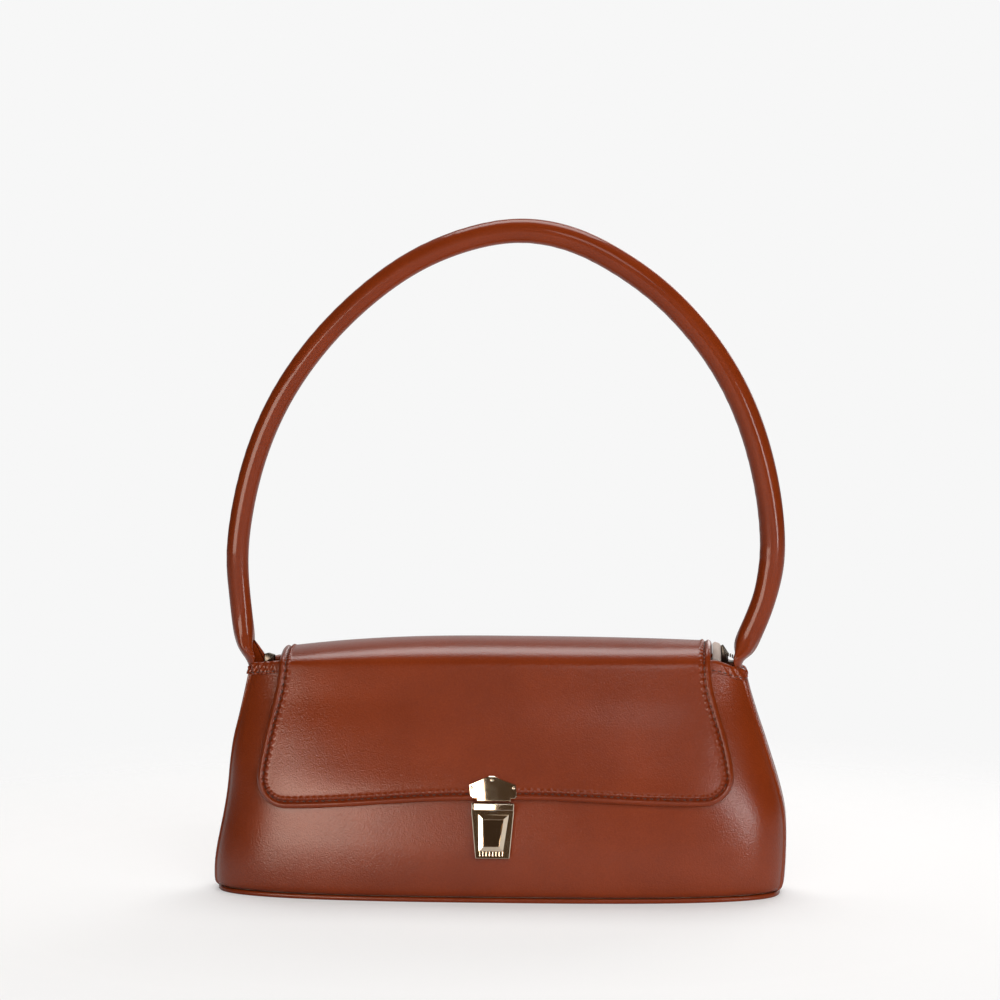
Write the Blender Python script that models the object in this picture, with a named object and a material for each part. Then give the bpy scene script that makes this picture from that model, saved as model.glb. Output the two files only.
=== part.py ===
# Brown leather shoulder bag with a front flap, a zip, a tuck lock and one rolled handle.
# Metres, +Z up, +X to the wearer's right as seen from the front, which faces -Y.
# The origin is the middle of the base panel's outer face.

import math

import bmesh
import bpy
from mathutils import Matrix, Vector

for oldObject in list(bpy.data.objects):
    bpy.data.objects.remove(oldObject, do_unlink=True)

# Body: the plan at each height is a rounded oblong
BODY_HEIGHT = 0.1112
BODY_HALF_WIDTH = 0.1362
BODY_HALF_DEPTH = 0.040
PLAN_POWER = 2.8
WIDTH_SHARES = (
    (0.0, 0.984), (0.03, 0.994), (0.06, 0.999), (0.14, 1.0), (0.25, 0.993), (0.36, 0.981),
    (0.46, 0.966), (0.56, 0.950), (0.67, 0.929), (0.77, 0.905), (0.87, 0.882), (0.95, 0.866), (1.0, 0.858),
)
DEPTH_SHARES = (
    (0.0, 0.955), (0.03, 0.982), (0.06, 0.995), (0.15, 1.0), (0.26, 0.985), (0.46, 0.915),
    (0.60, 0.82), (0.72, 0.715), (0.85, 0.58), (1.0, 0.45),
)
LEATHER = 0.0014
SEAM_DEPTH_LOW = 0.014
SEAM_DEPTH_HIGH = 0.009
RIM_END_DROP = 0.0045
RIM_END_SHARES = (0.87, 1.0)
RIM_LEFT_DROP = 0.0020
RIM_LEFT_SHARES = (0.66, 0.90)
LOWER_ROLL_POWER = 1.6
CLOSER_COLUMNS_SHARE = 0.6
GAP = 0.0003
RIM_HALF_WIDTH = BODY_HALF_WIDTH * WIDTH_SHARES[-1][1]

# Base
BASE_THICKNESS = 0.0023
BASE_INSET = 0.0008
BASE_EDGE_ROUND = 0.0008
BOARD_THICKNESS = 0.0016

# Lining and pocket
LINING_DEPTH = 0.0030
LINING_END_DEPTH = 0.0016
LINING_THICKNESS = 0.0005
LINING_BELOW_RIM = 0.0010
LINING_END_SHARES = (0.35, 0.75)
POCKET_HALF_WIDTH = 0.062
POCKET_HEIGHT = 0.058
POCKET_BOTTOM = 0.022
POCKET_THICKNESS = 0.0005
POCKET_GAP = 0.0008

# Mouth binding
BINDING_LEAF = 0.0055
BINDING_THICKNESS = 0.0009
BINDING_END_DEPTH = 0.0078
# Side of the rim, then height as a share of the leaf, round the folded strip
BINDING_FOLD_SHARES = ((1, -1), (1, -0.5), (1, 1), (-1, 1), (-1, -0.5), (-1, -1))

# Flap and the strip that holds it
FLAP_STAND_OFF = 0.0019
FLAP_LINING_THICKNESS = 0.0008
FLAP_LEATHER = 0.0013
FLAP_TOP_SIDE_MARGIN = 0.01566
FLAP_SPREAD = 0.0120
FLAP_TOP_HALF_WIDTH = RIM_HALF_WIDTH - FLAP_TOP_SIDE_MARGIN
FLAP_HALF_WIDTH = FLAP_TOP_HALF_WIDTH + FLAP_SPREAD
FLAP_WIDTH_SHARES = (
    (0.0, 0.0), (0.36, 0.02), (0.46, 0.12), (0.58, 0.40), (0.70, 0.70), (0.82, 0.93), (0.92, 1.0), (1.0, 1.0),
)
FLAP_TOP_SHARE = 0.33
FLAP_ROW_SHARES = (
    0.0, 0.02, 0.06, 0.11, 0.165, 0.22, 0.28, 0.33, 0.43, 0.54, 0.65, 0.75, 0.82, 0.88, 0.93, 0.97, 1.0,
)
FLAP_CORNER = 0.014
FLAP_FALL = 0.0622
FLAP_EDGE_SAG = 0.0045
FLAP_EDGE_MIDDLE = BODY_HEIGHT - FLAP_FALL
FLAP_EDGE_SIDE = FLAP_EDGE_MIDDLE - FLAP_EDGE_SAG
FLAP_EDGE_SHARES = (0.1, 0.95)
FLAP_TURN_RISE = 0.0014
FLAP_CROWN_RISE = 0.0110
FLAP_TURN_HEIGHT = BODY_HEIGHT + FLAP_TURN_RISE
FLAP_CROWN = BODY_HEIGHT + FLAP_CROWN_RISE
FLAP_DROOP_LEFT = 0.0048
FLAP_DROOP_RIGHT = 0.0012
FLAP_DROOP_POWER = 3.0
HINGE_BELOW_RIM = 0.0004
HINGE_HEIGHT = BODY_HEIGHT - HINGE_BELOW_RIM
ANCHOR_DROP = 0.024
ANCHOR_REST_DROP = 0.010

# Zip
ZIP_BELOW_RIM = 0.0032
ZIP_END_MARGIN = 0.00886
ZIP_HEIGHT = BODY_HEIGHT - ZIP_BELOW_RIM
ZIP_HALF_LENGTH = RIM_HALF_WIDTH - ZIP_END_MARGIN
TAPE_THICKNESS = 0.0005
TAPE_INNER = 0.0025
TAPE_EDGE_GAP = 0.0008
TEETH_PITCH = 0.0040
TOOTH_WIDTH = 0.0016
TOOTH_REACH = 0.0006
TOOTH_CORD_INNER = 0.0012
TOOTH_CORD_OUTER = 0.0022
TOOTH_HEIGHT = 0.0012
TEETH_LEFT_MARGIN = 0.0095
TEETH_RIGHT_MARGIN = 0.0045
TEETH_START = TEETH_LEFT_MARGIN - ZIP_HALF_LENGTH
TEETH_END = ZIP_HALF_LENGTH - TEETH_RIGHT_MARGIN
END_TAB_LENGTH = 0.0024
SLIDER_END_MARGIN = 0.0054
SLIDER_CENTRE = ZIP_HALF_LENGTH - SLIDER_END_MARGIN
SLIDER_HALF_LENGTH = 0.0045
SLIDER_HALF_WIDTH = 0.0042
SLIDER_PLATE = 0.0009
SLIDER_PLATE_LIFT = 0.0010
SLIDER_CORNER = 0.0014
SLIDER_POST_HALF_WIDTH = 0.0010
SLIDER_POST_LENGTH = 0.0015
BAIL_HALF_LENGTH = 0.0028
BAIL_HALF_WIDTH = 0.0009
BAIL_WIRE = 0.0007
BAIL_OPENING = 0.0017
PULL_LENGTH = 0.0100
PULL_HALF_WIDTH = 0.0028
PULL_THICKNESS = 0.0009
PULL_WINDOW_HALF_WIDTH = 0.0015
PULL_WINDOW_LENGTH = 0.0032
PULL_CORNER = 0.0012

# Lock: heights are measured up the leather from the lowest point of the case
LOCK_EDGE_GAP = 0.0010
CASE_HALF_WIDTH_LOW = 0.0080
CASE_HALF_WIDTH_HIGH = 0.0100
CASE_TRAY_HEIGHT = 0.0218
CASE_HEAD_HEIGHT = 0.0044
LOCK_BOTTOM = FLAP_EDGE_MIDDLE - LOCK_EDGE_GAP - CASE_TRAY_HEIGHT - CASE_HEAD_HEIGHT
CASE_DEPTH = 0.0040
CASE_WALL = 0.0008
CASE_BACK = 0.0008
CASE_BEVEL = 0.0003
HEAD_NOTCH_HALF_WIDTH = 0.0076
STUD_RADIUS = 0.0009
STUD_HEIGHT_LOW = 0.0045
STUD_BELOW_TRAY_TOP = 0.0048
STUD_HEIGHT_HIGH = CASE_TRAY_HEIGHT - STUD_BELOW_TRAY_TOP
BUTTON_HALF_WIDTH_LOW = 0.0057
BUTTON_HALF_WIDTH_HIGH = 0.0072
BUTTON_FOOT_SPACE = 0.0027
BUTTON_LENGTH = CASE_TRAY_HEIGHT - 2 * CASE_WALL - GAP - BUTTON_FOOT_SPACE
BUTTON_DEPTH = 0.0041
BUTTON_BEVEL = 0.0006
INLAY_HALF_WIDTH_LOW = 0.0034
INLAY_HALF_WIDTH_HIGH = 0.0046
INLAY_FOOT = 0.0021
INLAY_HEAD = 0.0017
INLAY_LENGTH = BUTTON_LENGTH - INLAY_FOOT - INLAY_HEAD
INLAY_RECESS = 0.0006
INLAY_CLEARANCE = 0.0001
POCKET_IN_BUTTON_HALF_WIDTH = 0.0019
POCKET_IN_BUTTON_DEPTH = 0.0029
POCKET_IN_BUTTON_FOOT = 0.0012
POCKET_IN_BUTTON_HEAD = 0.0042
POCKET_IN_BUTTON_LENGTH = BUTTON_LENGTH - POCKET_IN_BUTTON_FOOT - POCKET_IN_BUTTON_HEAD
SPRING_POST_LENGTH = 0.0014
SPRING_WIRE_RADIUS = 0.00018
SPRING_RADIUS = 0.0011
SPRING_TURNS = 7
CATCH_HALF_WIDTH = 0.0016
CATCH_THICKNESS = 0.0004
CATCH_FOOT = 0.0022
CATCH_DEPTH = 0.0023

# Lock plate, bar and hook on the flap
PLATE_HALF_WIDTH = 0.0111
PLATE_HEIGHT = 0.0104
PLATE_SHOULDER = 0.0064
PLATE_CORNER = 0.0012
PLATE_THICKNESS = 0.0010
NECK_HALF_WIDTH = 0.0080
NECK_LENGTH = 0.0013
BAR_HALF_WIDTH = 0.0095
BAR_HEIGHT = 0.0034
BAR_DEPTH = 0.0023
BAR_CHAMFER = 0.0006
HOOK_HALF_WIDTH = 0.0050
HOOK_THICKNESS = 0.0010
HOOK_LIP_HEIGHT = 0.0010
HOOK_LIP_THICKNESS = 0.0006
RIVET_HEAD_RADIUS = 0.00095
RIVET_HEAD_HEIGHT = 0.0004
RIVET_RADIUS = 0.0004
RIVET_CLEARANCE = 0.00025
RIVET_TAIL_HEIGHT = 0.0003
RIVET_SHOULDER_SHARES = (0.7, 0.75)
RIVET_SIDE = 0.0098
RIVET_SIDE_HEIGHT = 0.0050
RIVET_TOP_HEIGHT = 0.0086
WASHER_HALF_WIDTH = 0.0112
WASHER_HEIGHT = 0.0070
WASHER_THICKNESS = 0.0006
BACK_WASHER_HALF_WIDTH = 0.0070
BACK_WASHER_MARGIN = 0.00225
BACK_WASHER_HEIGHT = STUD_HEIGHT_HIGH - STUD_HEIGHT_LOW + 2 * BACK_WASHER_MARGIN
BACK_WASHER_THICKNESS = 0.0006
BACK_WASHER_GAP = 0.0006

# Handle
HANDLE_RISE = 0.2043
HANDLE_FOOT_RISE = 0.0038
HANDLE_PIVOT_RISE = 0.0068
HANDLE_SPAN_INSET = 0.0100
HANDLE_HEIGHT = BODY_HEIGHT + HANDLE_RISE
HANDLE_FOOT_HEIGHT = BODY_HEIGHT + HANDLE_FOOT_RISE
HANDLE_PIVOT_HEIGHT = BODY_HEIGHT + HANDLE_PIVOT_RISE
HANDLE_HALF_SPAN = BODY_HALF_WIDTH - HANDLE_SPAN_INSET
HANDLE_RADIUS_LEFT = 0.0051
HANDLE_RADIUS_RIGHT = 0.0058
HANDLE_STEPS = 42
HANDLE_WALL = 0.0012
CORE_CLEARANCE = 0.0006
HANDLE_START_RISE = 0.0128
HANDLE_START = BODY_HEIGHT + HANDLE_START_RISE
HANDLE_PINCH_HEIGHT = 0.020
HANDLE_PINCH_SHARE = 0.72
HANDLE_THICKENING_SHARES = (0.5, 0.9)
# Height share and then how far out the middle of the tube lies, on the left and on the right
HANDLE_SHARES = (
    (0.0, -0.952, 0.924), (0.04, -0.976, 0.962), (0.09, -0.992, 0.990), (0.15, -1.0, 1.010),
    (0.22, -0.999, 1.024), (0.30, -0.986, 1.021), (0.38, -0.962, 1.006), (0.46, -0.927, 0.979),
    (0.54, -0.878, 0.941), (0.62, -0.812, 0.888), (0.70, -0.725, 0.815), (0.78, -0.615, 0.718),
    (0.86, -0.475, 0.590), (0.93, -0.311, 0.430), (0.98, -0.115, 0.265),
)
HANDLE_APEX_SHARE = 0.079
ROOT_HALF_WIDTH = 0.0068
ROOT_THICKNESS = 0.0020
ROOT_DROP = 0.017
ROOT_TIP_SHARE = 0.62
ROOT_WIDENING_SHARE = 0.5
ROOT_SEWN_SHARES = (0.0, 0.25, 0.6, 1.0)
ROOT_FREE_SHARES = (0.35, 1.0)

COLOURS = {
    "leather": ((0.180, 0.042, 0.011), 0.38, 0.0),
    "leatherEdge": ((0.130, 0.030, 0.010), 0.50, 0.0),
    "lining": ((0.600, 0.500, 0.440), 0.80, 0.0),
    "board": ((0.300, 0.240, 0.180), 0.90, 0.0),
    "zipTape": ((0.120, 0.060, 0.035), 0.85, 0.0),
    "darkMetal": ((0.090, 0.075, 0.060), 0.35, 1.0),
    "paleGold": ((0.870, 0.730, 0.560), 0.16, 1.0),
    "mirror": ((0.350, 0.270, 0.200), 0.06, 1.0),
    "steel": ((0.550, 0.550, 0.560), 0.30, 1.0),
    "core": ((0.620, 0.600, 0.560), 0.85, 0.0),
}


# Helpers

def material(name):
    existing = bpy.data.materials.get(name)
    if existing:
        return existing
    colour, roughness, metallic = COLOURS[name]
    made = bpy.data.materials.new(name)
    made.use_nodes = True
    shader = made.node_tree.nodes["Principled BSDF"]
    shader.inputs["Base Color"].default_value = (*colour, 1.0)
    shader.inputs["Roughness"].default_value = roughness
    shader.inputs["Metallic"].default_value = metallic
    return made


def makeObject(name, bm, materialName, parent=None, frame=None):
    mesh = bpy.data.meshes.new(name)
    bmesh.ops.recalc_face_normals(bm, faces=bm.faces)
    bm.to_mesh(mesh)
    bm.free()
    mesh.shade_smooth()
    mesh.set_sharp_from_angle(angle=math.radians(35))
    made = bpy.data.objects.new(name, mesh)
    bpy.context.collection.objects.link(made)
    made.data.materials.append(material(materialName))
    if frame:
        made.matrix_world = frame
    if parent:
        made.parent = parent
        made.matrix_parent_inverse = Matrix.Translation(-Vector(parent["axisPoint"]))
    return made


def makeAxis(name, point, parent=None):
    axis = bpy.data.objects.new(name, None)
    bpy.context.collection.objects.link(axis)
    axis["axisPoint"] = tuple(point)
    axis.location = point
    if parent:
        axis.parent = parent
        axis.matrix_parent_inverse = Matrix.Translation(-Vector(parent["axisPoint"]))
    return axis


def asCutter(made):
    made.hide_render = True
    made.display_type = "WIRE"
    return made


def addBoolean(target, other, operation):
    modifier = target.modifiers.new(operation.lower(), "BOOLEAN")
    modifier.operation = operation
    modifier.object = other
    modifier.solver = "EXACT"
    asCutter(other)


def addBevel(target, width, segments=1, angle=40):
    modifier = target.modifiers.new("bevel", "BEVEL")
    modifier.width = width
    modifier.segments = segments
    modifier.limit_method = "ANGLE"
    modifier.angle_limit = math.radians(angle)


def readTable(table, at, column=1):
    # Smooth curve through a table of shares, with flat overshoot kept out by its own slopes
    rows = [(row[0], row[column]) for row in table]
    if at <= rows[0][0]:
        return rows[0][1]
    if at >= rows[-1][0]:
        return rows[-1][1]
    last = len(rows) - 1
    index = max(i for i in range(last) if rows[i][0] <= at)

    def slope(i):
        low, high = rows[max(0, i - 1)], rows[min(last, i + 1)]
        return (high[1] - low[1]) / (high[0] - low[0])

    (x0, y0), (x1, y1) = rows[index], rows[index + 1]
    span = x1 - x0
    t = (at - x0) / span
    return (
        y0 * (2 * t**3 - 3 * t**2 + 1)
        + slope(index) * span * (t**3 - 2 * t**2 + t)
        + y1 * (3 * t**2 - 2 * t**3)
        + slope(index + 1) * span * (t**3 - t**2)
    )


def easeBetween(low, high, at):
    t = min(1.0, max(0.0, (at - low) / (high - low)))
    return t * t * (3 - 2 * t)


def mix(low, high, share):
    return low + (high - low) * share


def halfWidthAt(z):
    return BODY_HALF_WIDTH * readTable(WIDTH_SHARES, z / BODY_HEIGHT)


def halfDepthAt(z):
    return BODY_HALF_DEPTH * readTable(DEPTH_SHARES, z / BODY_HEIGHT)


def planShares(angle):
    c, s = math.cos(angle), math.sin(angle)
    reach = (abs(c) ** PLAN_POWER + abs(s) ** PLAN_POWER) ** (-1 / PLAN_POWER)
    return c * reach, s * reach


def bodyPoint(angle, z):
    across, back = planShares(angle)
    return Vector((halfWidthAt(z) * across, halfDepthAt(z) * back, z))


def skinPoint(angle, z, outward=0.0):
    # A point of the body's outer surface, moved out along the surface's own normal
    turn = math.radians(0.05)
    rise = BODY_HEIGHT / 2000
    along = bodyPoint(angle + turn, z) - bodyPoint(angle - turn, z)
    up = bodyPoint(angle, z + rise) - bodyPoint(angle, z - rise)
    return bodyPoint(angle, z) + along.cross(up).normalized() * outward


def angleAtDepth(y, z):
    s = min(1.0, abs(y) / halfDepthAt(z))
    return math.atan2(s, (1 - s**PLAN_POWER) ** (1 / PLAN_POWER))


def angleAtWidth(x, z, outward=0.0):
    # Angle on the front half where the moved-out surface passes x, found by halving
    low, high = -math.pi, 0.0
    for _ in range(40):
        middle = (low + high) / 2
        if skinPoint(middle, z, outward).x < x:
            low = middle
        else:
            high = middle
    return (low + high) / 2


def seamDepthAt(z):
    return mix(SEAM_DEPTH_LOW, SEAM_DEPTH_HIGH, z / BODY_HEIGHT)


def rimHeightAt(angle):
    # The mouth sinks at both ends, and a little more on the left
    across = planShares(angle)[0]
    drop = RIM_END_DROP * easeBetween(*RIM_END_SHARES, abs(across))
    return BODY_HEIGHT - drop - RIM_LEFT_DROP * easeBetween(*RIM_LEFT_SHARES, -across)


def closerAtEnds(u):
    return mix(u, (1 - math.cos(math.pi * u)) / 2, CLOSER_COLUMNS_SHARE)


def settledRim(angleAt, u):
    # The rim's height where a panel's own column of points meets it
    high = BODY_HEIGHT
    for _ in range(4):
        high = rimHeightAt(angleAt(u, high))
    return high


def sheet(name, columns, rows, pointAt, thickness, materialName, closed=False, floor=False, parent=None):
    # A grid laid over a formula, then extruded through its thickness onto the same formula
    bm = bmesh.new()
    bmesh.ops.create_grid(bm, x_segments=columns, y_segments=rows, size=1.0)
    across = bm.verts.layers.float.new("across")
    upward = bm.verts.layers.float.new("upward")
    for vertex in bm.verts:
        vertex[across] = (vertex.co.x + 1) / 2
        vertex[upward] = (vertex.co.y + 1) / 2
        vertex.co = pointAt(vertex[across], vertex[upward], 0)
    if closed:
        bmesh.ops.remove_doubles(bm, verts=bm.verts, dist=GAP / 100)
    if floor:
        rim = [e for e in bm.edges if e.is_boundary and all(v[upward] < 0.5 for v in e.verts)]
        bmesh.ops.edgeloop_fill(bm, edges=rim)
    pushed = bmesh.ops.extrude_face_region(bm, geom=list(bm.faces))
    for item in pushed["geom"]:
        if isinstance(item, bmesh.types.BMVert):
            item.co = pointAt(item[across], item[upward], thickness)
    return makeObject(name, bm, materialName, parent)


def prism(name, outline, depth, materialName, frame=None, parent=None, bevel=0.0):
    # An outline in X and Z, extruded from y = 0 towards -Y, which is out of the leather
    bm = bmesh.new()
    corners = [bm.verts.new((x, 0, z)) for x, z in outline]
    face = bm.faces.new(corners)
    pushed = bmesh.ops.extrude_face_region(bm, geom=[face])
    moved = [item for item in pushed["geom"] if isinstance(item, bmesh.types.BMVert)]
    bmesh.ops.translate(bm, verts=moved, vec=(0, -depth, 0))
    made = makeObject(name, bm, materialName, parent, frame)
    if bevel:
        addBevel(made, bevel)
    return made


def plate(name, outline, thickness, materialName, parent=None):
    # An outline in X and Y, extruded upwards; each point carries its own height
    bm = bmesh.new()
    corners = [bm.verts.new(point) for point in outline]
    face = bm.faces.new(corners)
    pushed = bmesh.ops.extrude_face_region(bm, geom=[face])
    moved = [item for item in pushed["geom"] if isinstance(item, bmesh.types.BMVert)]
    bmesh.ops.translate(bm, verts=moved, vec=(0, 0, thickness))
    return makeObject(name, bm, materialName, parent)


def box(name, low, high, materialName, frame=None, parent=None):
    bm = bmesh.new()
    bmesh.ops.create_cube(bm, size=1.0)
    low, high = Vector(low), Vector(high)
    for vertex in bm.verts:
        vertex.co = Vector(mix(low[i], high[i], vertex.co[i] + 0.5) for i in range(3))
    return makeObject(name, bm, materialName, parent, frame)


def turned(name, profile, materialName, frame, steps=12, parent=None):
    # A profile of radius and distance out of the leather, spun about local Y
    bm = bmesh.new()
    points = [bm.verts.new((radius, -out, 0)) for radius, out in profile]
    edges = [bm.edges.new(pair) for pair in zip(points, points[1:])]
    bmesh.ops.spin(
        bm, geom=points + edges, cent=(0, 0, 0), axis=(0, 1, 0), angle=math.tau, steps=steps, use_merge=True
    )
    bmesh.ops.remove_doubles(bm, verts=bm.verts, dist=GAP / 100)
    return makeObject(name, bm, materialName, parent, frame)


# Body panels

def panelAngle(u, z, side):
    ends = angleAtDepth(seamDepthAt(z) + GAP / 2, z)
    return mix(ends, math.pi - ends, u) + (0 if side > 0 else -math.pi)


def makePanel(name, side):
    low = BASE_THICKNESS + GAP

    def angleAt(u, z):
        return panelAngle(closerAtEnds(u), z, side)

    def pointAt(u, v, depth):
        z = mix(low, settledRim(angleAt, u), v**LOWER_ROLL_POWER)
        return skinPoint(angleAt(u, z), z, -depth)

    return sheet(name, 30, 10, pointAt, LEATHER, "leather")


def makeGusset(name, middleAngle):
    low = BASE_THICKNESS + GAP

    def angleAt(u, z):
        ends = angleAtDepth(seamDepthAt(z) - GAP / 2, z)
        return middleAngle + mix(-ends, ends, u)

    def pointAt(u, v, depth):
        z = mix(low, settledRim(angleAt, u), v**LOWER_ROLL_POWER)
        return skinPoint(angleAt(u, z), z, -depth)

    return sheet(name, 8, 10, pointAt, LEATHER, "leather")


def ringAt(z, outward, steps):
    return [skinPoint(math.tau * i / steps, z, outward) for i in range(steps)]


def makeBase():
    panel = plate("base_panel", [Vector((p.x, p.y, 0)) for p in ringAt(BASE_THICKNESS, -BASE_INSET, 56)],
                  BASE_THICKNESS, "leather")
    addBevel(panel, BASE_EDGE_ROUND, 2, 60)
    low = BASE_THICKNESS + GAP
    inside = -(LEATHER + 2 * GAP)
    outline = [Vector((p.x, p.y, low)) for p in ringAt(low, inside, 40)]
    plate("base_board", outline, BOARD_THICKNESS, "board")


def liningDepthAt(angle):
    # The lining stands further in at both ends, where the handle's roots lie behind it
    back = abs(planShares(angle)[1])
    return LINING_DEPTH + LINING_END_DEPTH * (1 - easeBetween(*LINING_END_SHARES, back))


def makeLining():
    low = BASE_THICKNESS + BOARD_THICKNESS + 2 * GAP

    def pointAt(u, v, depth):
        angle = math.tau * u
        z = mix(low + depth, rimHeightAt(angle) - LINING_BELOW_RIM, v)
        return skinPoint(angle, z, -liningDepthAt(angle) - depth)

    sheet("lining", 40, 4, pointAt, LINING_THICKNESS, "lining", closed=True, floor=True)


def makePocket():
    inside = LINING_DEPTH + LINING_THICKNESS + POCKET_GAP

    def pointAt(u, v, depth):
        z = mix(POCKET_BOTTOM, POCKET_BOTTOM + POCKET_HEIGHT, v)
        x = mix(POCKET_HALF_WIDTH, -POCKET_HALF_WIDTH, u)
        return skinPoint(-angleAtWidth(x, z, -inside), z, -inside - depth)

    sheet("inner_pocket", 8, 3, pointAt, POCKET_THICKNESS, "lining")


def makeBinding(name, side):
    # A folded strip: down outside the rim, over its top and down inside
    def pointAt(u, v, depth):
        ends = angleAtDepth(BINDING_END_DEPTH, BODY_HEIGHT)
        angle = mix(ends, math.pi - ends, closerAtEnds(u)) + (0 if side > 0 else -math.pi)
        face, rise = BINDING_FOLD_SHARES[round(v * (len(BINDING_FOLD_SHARES) - 1))]
        clear = GAP + BINDING_THICKNESS - depth
        outward = clear if face > 0 else -LEATHER - clear
        height = GAP + clear if rise > 0 else rise * BINDING_LEAF
        return skinPoint(angle, rimHeightAt(angle) + height, outward)

    sheet(name, 30, 5, pointAt, BINDING_THICKNESS, "leather")


# Flap

def flapDroopAt(across):
    droop = FLAP_DROOP_LEFT if across < 0 else FLAP_DROOP_RIGHT
    return droop * abs(across) ** FLAP_DROOP_POWER


def hingeLine(outward):
    return skinPoint(math.pi / 2, HINGE_HEIGHT, outward)


FLAP_OUTSIDE = FLAP_STAND_OFF + FLAP_LINING_THICKNESS + GAP + FLAP_LEATHER


def flapPath(x, across, outward, lengthShare):
    # The flap runs from its hinge at the back (share 0) over the crown and down the front (share 1)
    turnAngle = angleAtWidth(x, FLAP_TURN_HEIGHT, outward)
    front = skinPoint(turnAngle, FLAP_TURN_HEIGHT, outward)
    hingeAngle = -angleAtWidth(x, HINGE_HEIGHT, outward)
    back = skinPoint(hingeAngle, HINGE_HEIGHT + GAP / 2, outward)
    if lengthShare <= FLAP_TOP_SHARE:
        t = lengthShare / FLAP_TOP_SHARE
        below = FLAP_OUTSIDE - outward
        crown = FLAP_CROWN - flapDroopAt(across) - below
        control = (crown - (front.z + back.z) / 8) * 4 / 3
        first = Vector((x, front.y, control))
        second = Vector((x, back.y, control))
        k = 1 - t
        return front * t**3 + first * 3 * t * t * k + second * 3 * t * k * k + back * k**3
    edge = mix(FLAP_EDGE_MIDDLE, FLAP_EDGE_SIDE, easeBetween(*FLAP_EDGE_SHARES, abs(across)))
    down = (lengthShare - FLAP_TOP_SHARE) / (1 - FLAP_TOP_SHARE)
    z = mix(FLAP_TURN_HEIGHT, edge, down)
    return skinPoint(angleAtWidth(x, z, outward), z, outward)


def flapHalfWidthAt(lengthShare):
    wide = mix(FLAP_TOP_HALF_WIDTH, FLAP_HALF_WIDTH, readTable(FLAP_WIDTH_SHARES, lengthShare))
    frontLength = (FLAP_TURN_HEIGHT - FLAP_EDGE_SIDE) / (1 - FLAP_TOP_SHARE)
    left = (1 - lengthShare) * frontLength
    if left < FLAP_CORNER:
        wide -= FLAP_CORNER - math.sqrt(FLAP_CORNER**2 - (FLAP_CORNER - left) ** 2)
    return wide


def makeFlapLayer(name, outward, thickness, materialName, parent):
    rows = len(FLAP_ROW_SHARES) - 1

    def pointAt(u, v, depth):
        lengthShare = FLAP_ROW_SHARES[round((1 - v) * rows)]
        across = mix(-1, 1, closerAtEnds(u))
        return flapPath(across * flapHalfWidthAt(lengthShare), across, outward - depth, lengthShare)

    return sheet(name, 16, rows, pointAt, thickness, materialName, parent=parent)


def makeAnchor():
    def pointAt(u, v, depth):
        z = mix(HINGE_HEIGHT - GAP / 2, HINGE_HEIGHT - ANCHOR_DROP, v)
        lift = easeBetween(HINGE_HEIGHT - ANCHOR_DROP, HINGE_HEIGHT - ANCHOR_REST_DROP, z)
        outward = FLAP_OUTSIDE - (FLAP_STAND_OFF - 2 * GAP) * (1 - lift) - depth
        x = mix(-FLAP_TOP_HALF_WIDTH, FLAP_TOP_HALF_WIDTH, u)
        return skinPoint(-angleAtWidth(x, z, outward), z, outward)

    sheet("flap_anchor", 16, 4, pointAt, FLAP_OUTSIDE - FLAP_STAND_OFF, "leather")


# Zip

def mouthEdgeAt(x):
    # How far from the middle plane the inside of the lining lies, at the height of the zip
    angle = angleAtWidth(x, ZIP_HEIGHT, -LINING_DEPTH)
    inside = liningDepthAt(angle) + LINING_THICKNESS + TAPE_EDGE_GAP
    return -skinPoint(angleAtWidth(x, ZIP_HEIGHT, -inside), ZIP_HEIGHT, -inside).y


def makeTape(name, side):
    def pointAt(u, v, depth):
        x = mix(-ZIP_HALF_LENGTH, ZIP_HALF_LENGTH, u)
        y = side * mix(TAPE_INNER, mouthEdgeAt(x), v)
        return Vector((x, y, ZIP_HEIGHT + TAPE_THICKNESS / 2 - depth))

    sheet(name, 20, 1, pointAt, TAPE_THICKNESS, "zipTape")


def makeTeeth(name, side, shift):
    count = int((TEETH_END - TEETH_START - shift - TOOTH_WIDTH) / TEETH_PITCH) + 1
    outline = [(TEETH_START, TOOTH_CORD_OUTER), (TEETH_START, TOOTH_CORD_INNER)]
    for i in range(count):
        start = TEETH_START + shift + i * TEETH_PITCH
        outline += [(start, TOOTH_CORD_INNER), (start, -TOOTH_REACH)]
        outline += [(start + TOOTH_WIDTH, -TOOTH_REACH), (start + TOOTH_WIDTH, TOOTH_CORD_INNER)]
    outline += [(TEETH_END, TOOTH_CORD_INNER), (TEETH_END, TOOTH_CORD_OUTER)]
    if shift == 0:
        outline = [outline[0]] + outline[3:]
    low = ZIP_HEIGHT - TOOTH_HEIGHT / 2
    plate(name, [Vector((x, side * y, low)) for x, y in outline], TOOTH_HEIGHT, "darkMetal")


def makeEndTab(name, side):
    def pointAt(u, v, depth):
        x = side * (ZIP_HALF_LENGTH + GAP + END_TAB_LENGTH * u)
        edge = mouthEdgeAt(x)
        return Vector((x, mix(-edge, edge, v), ZIP_HEIGHT + TAPE_THICKNESS / 2 - depth))

    sheet(name, 3, 4, pointAt, TAPE_THICKNESS, "lining")


def roundedOutline(halfLength, halfWidth, corner, centre, z):
    points = []
    for cornerX, cornerY, start in ((1, 1, 0), (-1, 1, 90), (-1, -1, 180), (1, -1, 270)):
        for step in range(3):
            turn = math.radians(start + 45 * step)
            x = cornerX * (halfLength - corner) + corner * math.cos(turn)
            y = cornerY * (halfWidth - corner) + corner * math.sin(turn)
            points.append(Vector((centre + x, y, z)))
    return points


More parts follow.
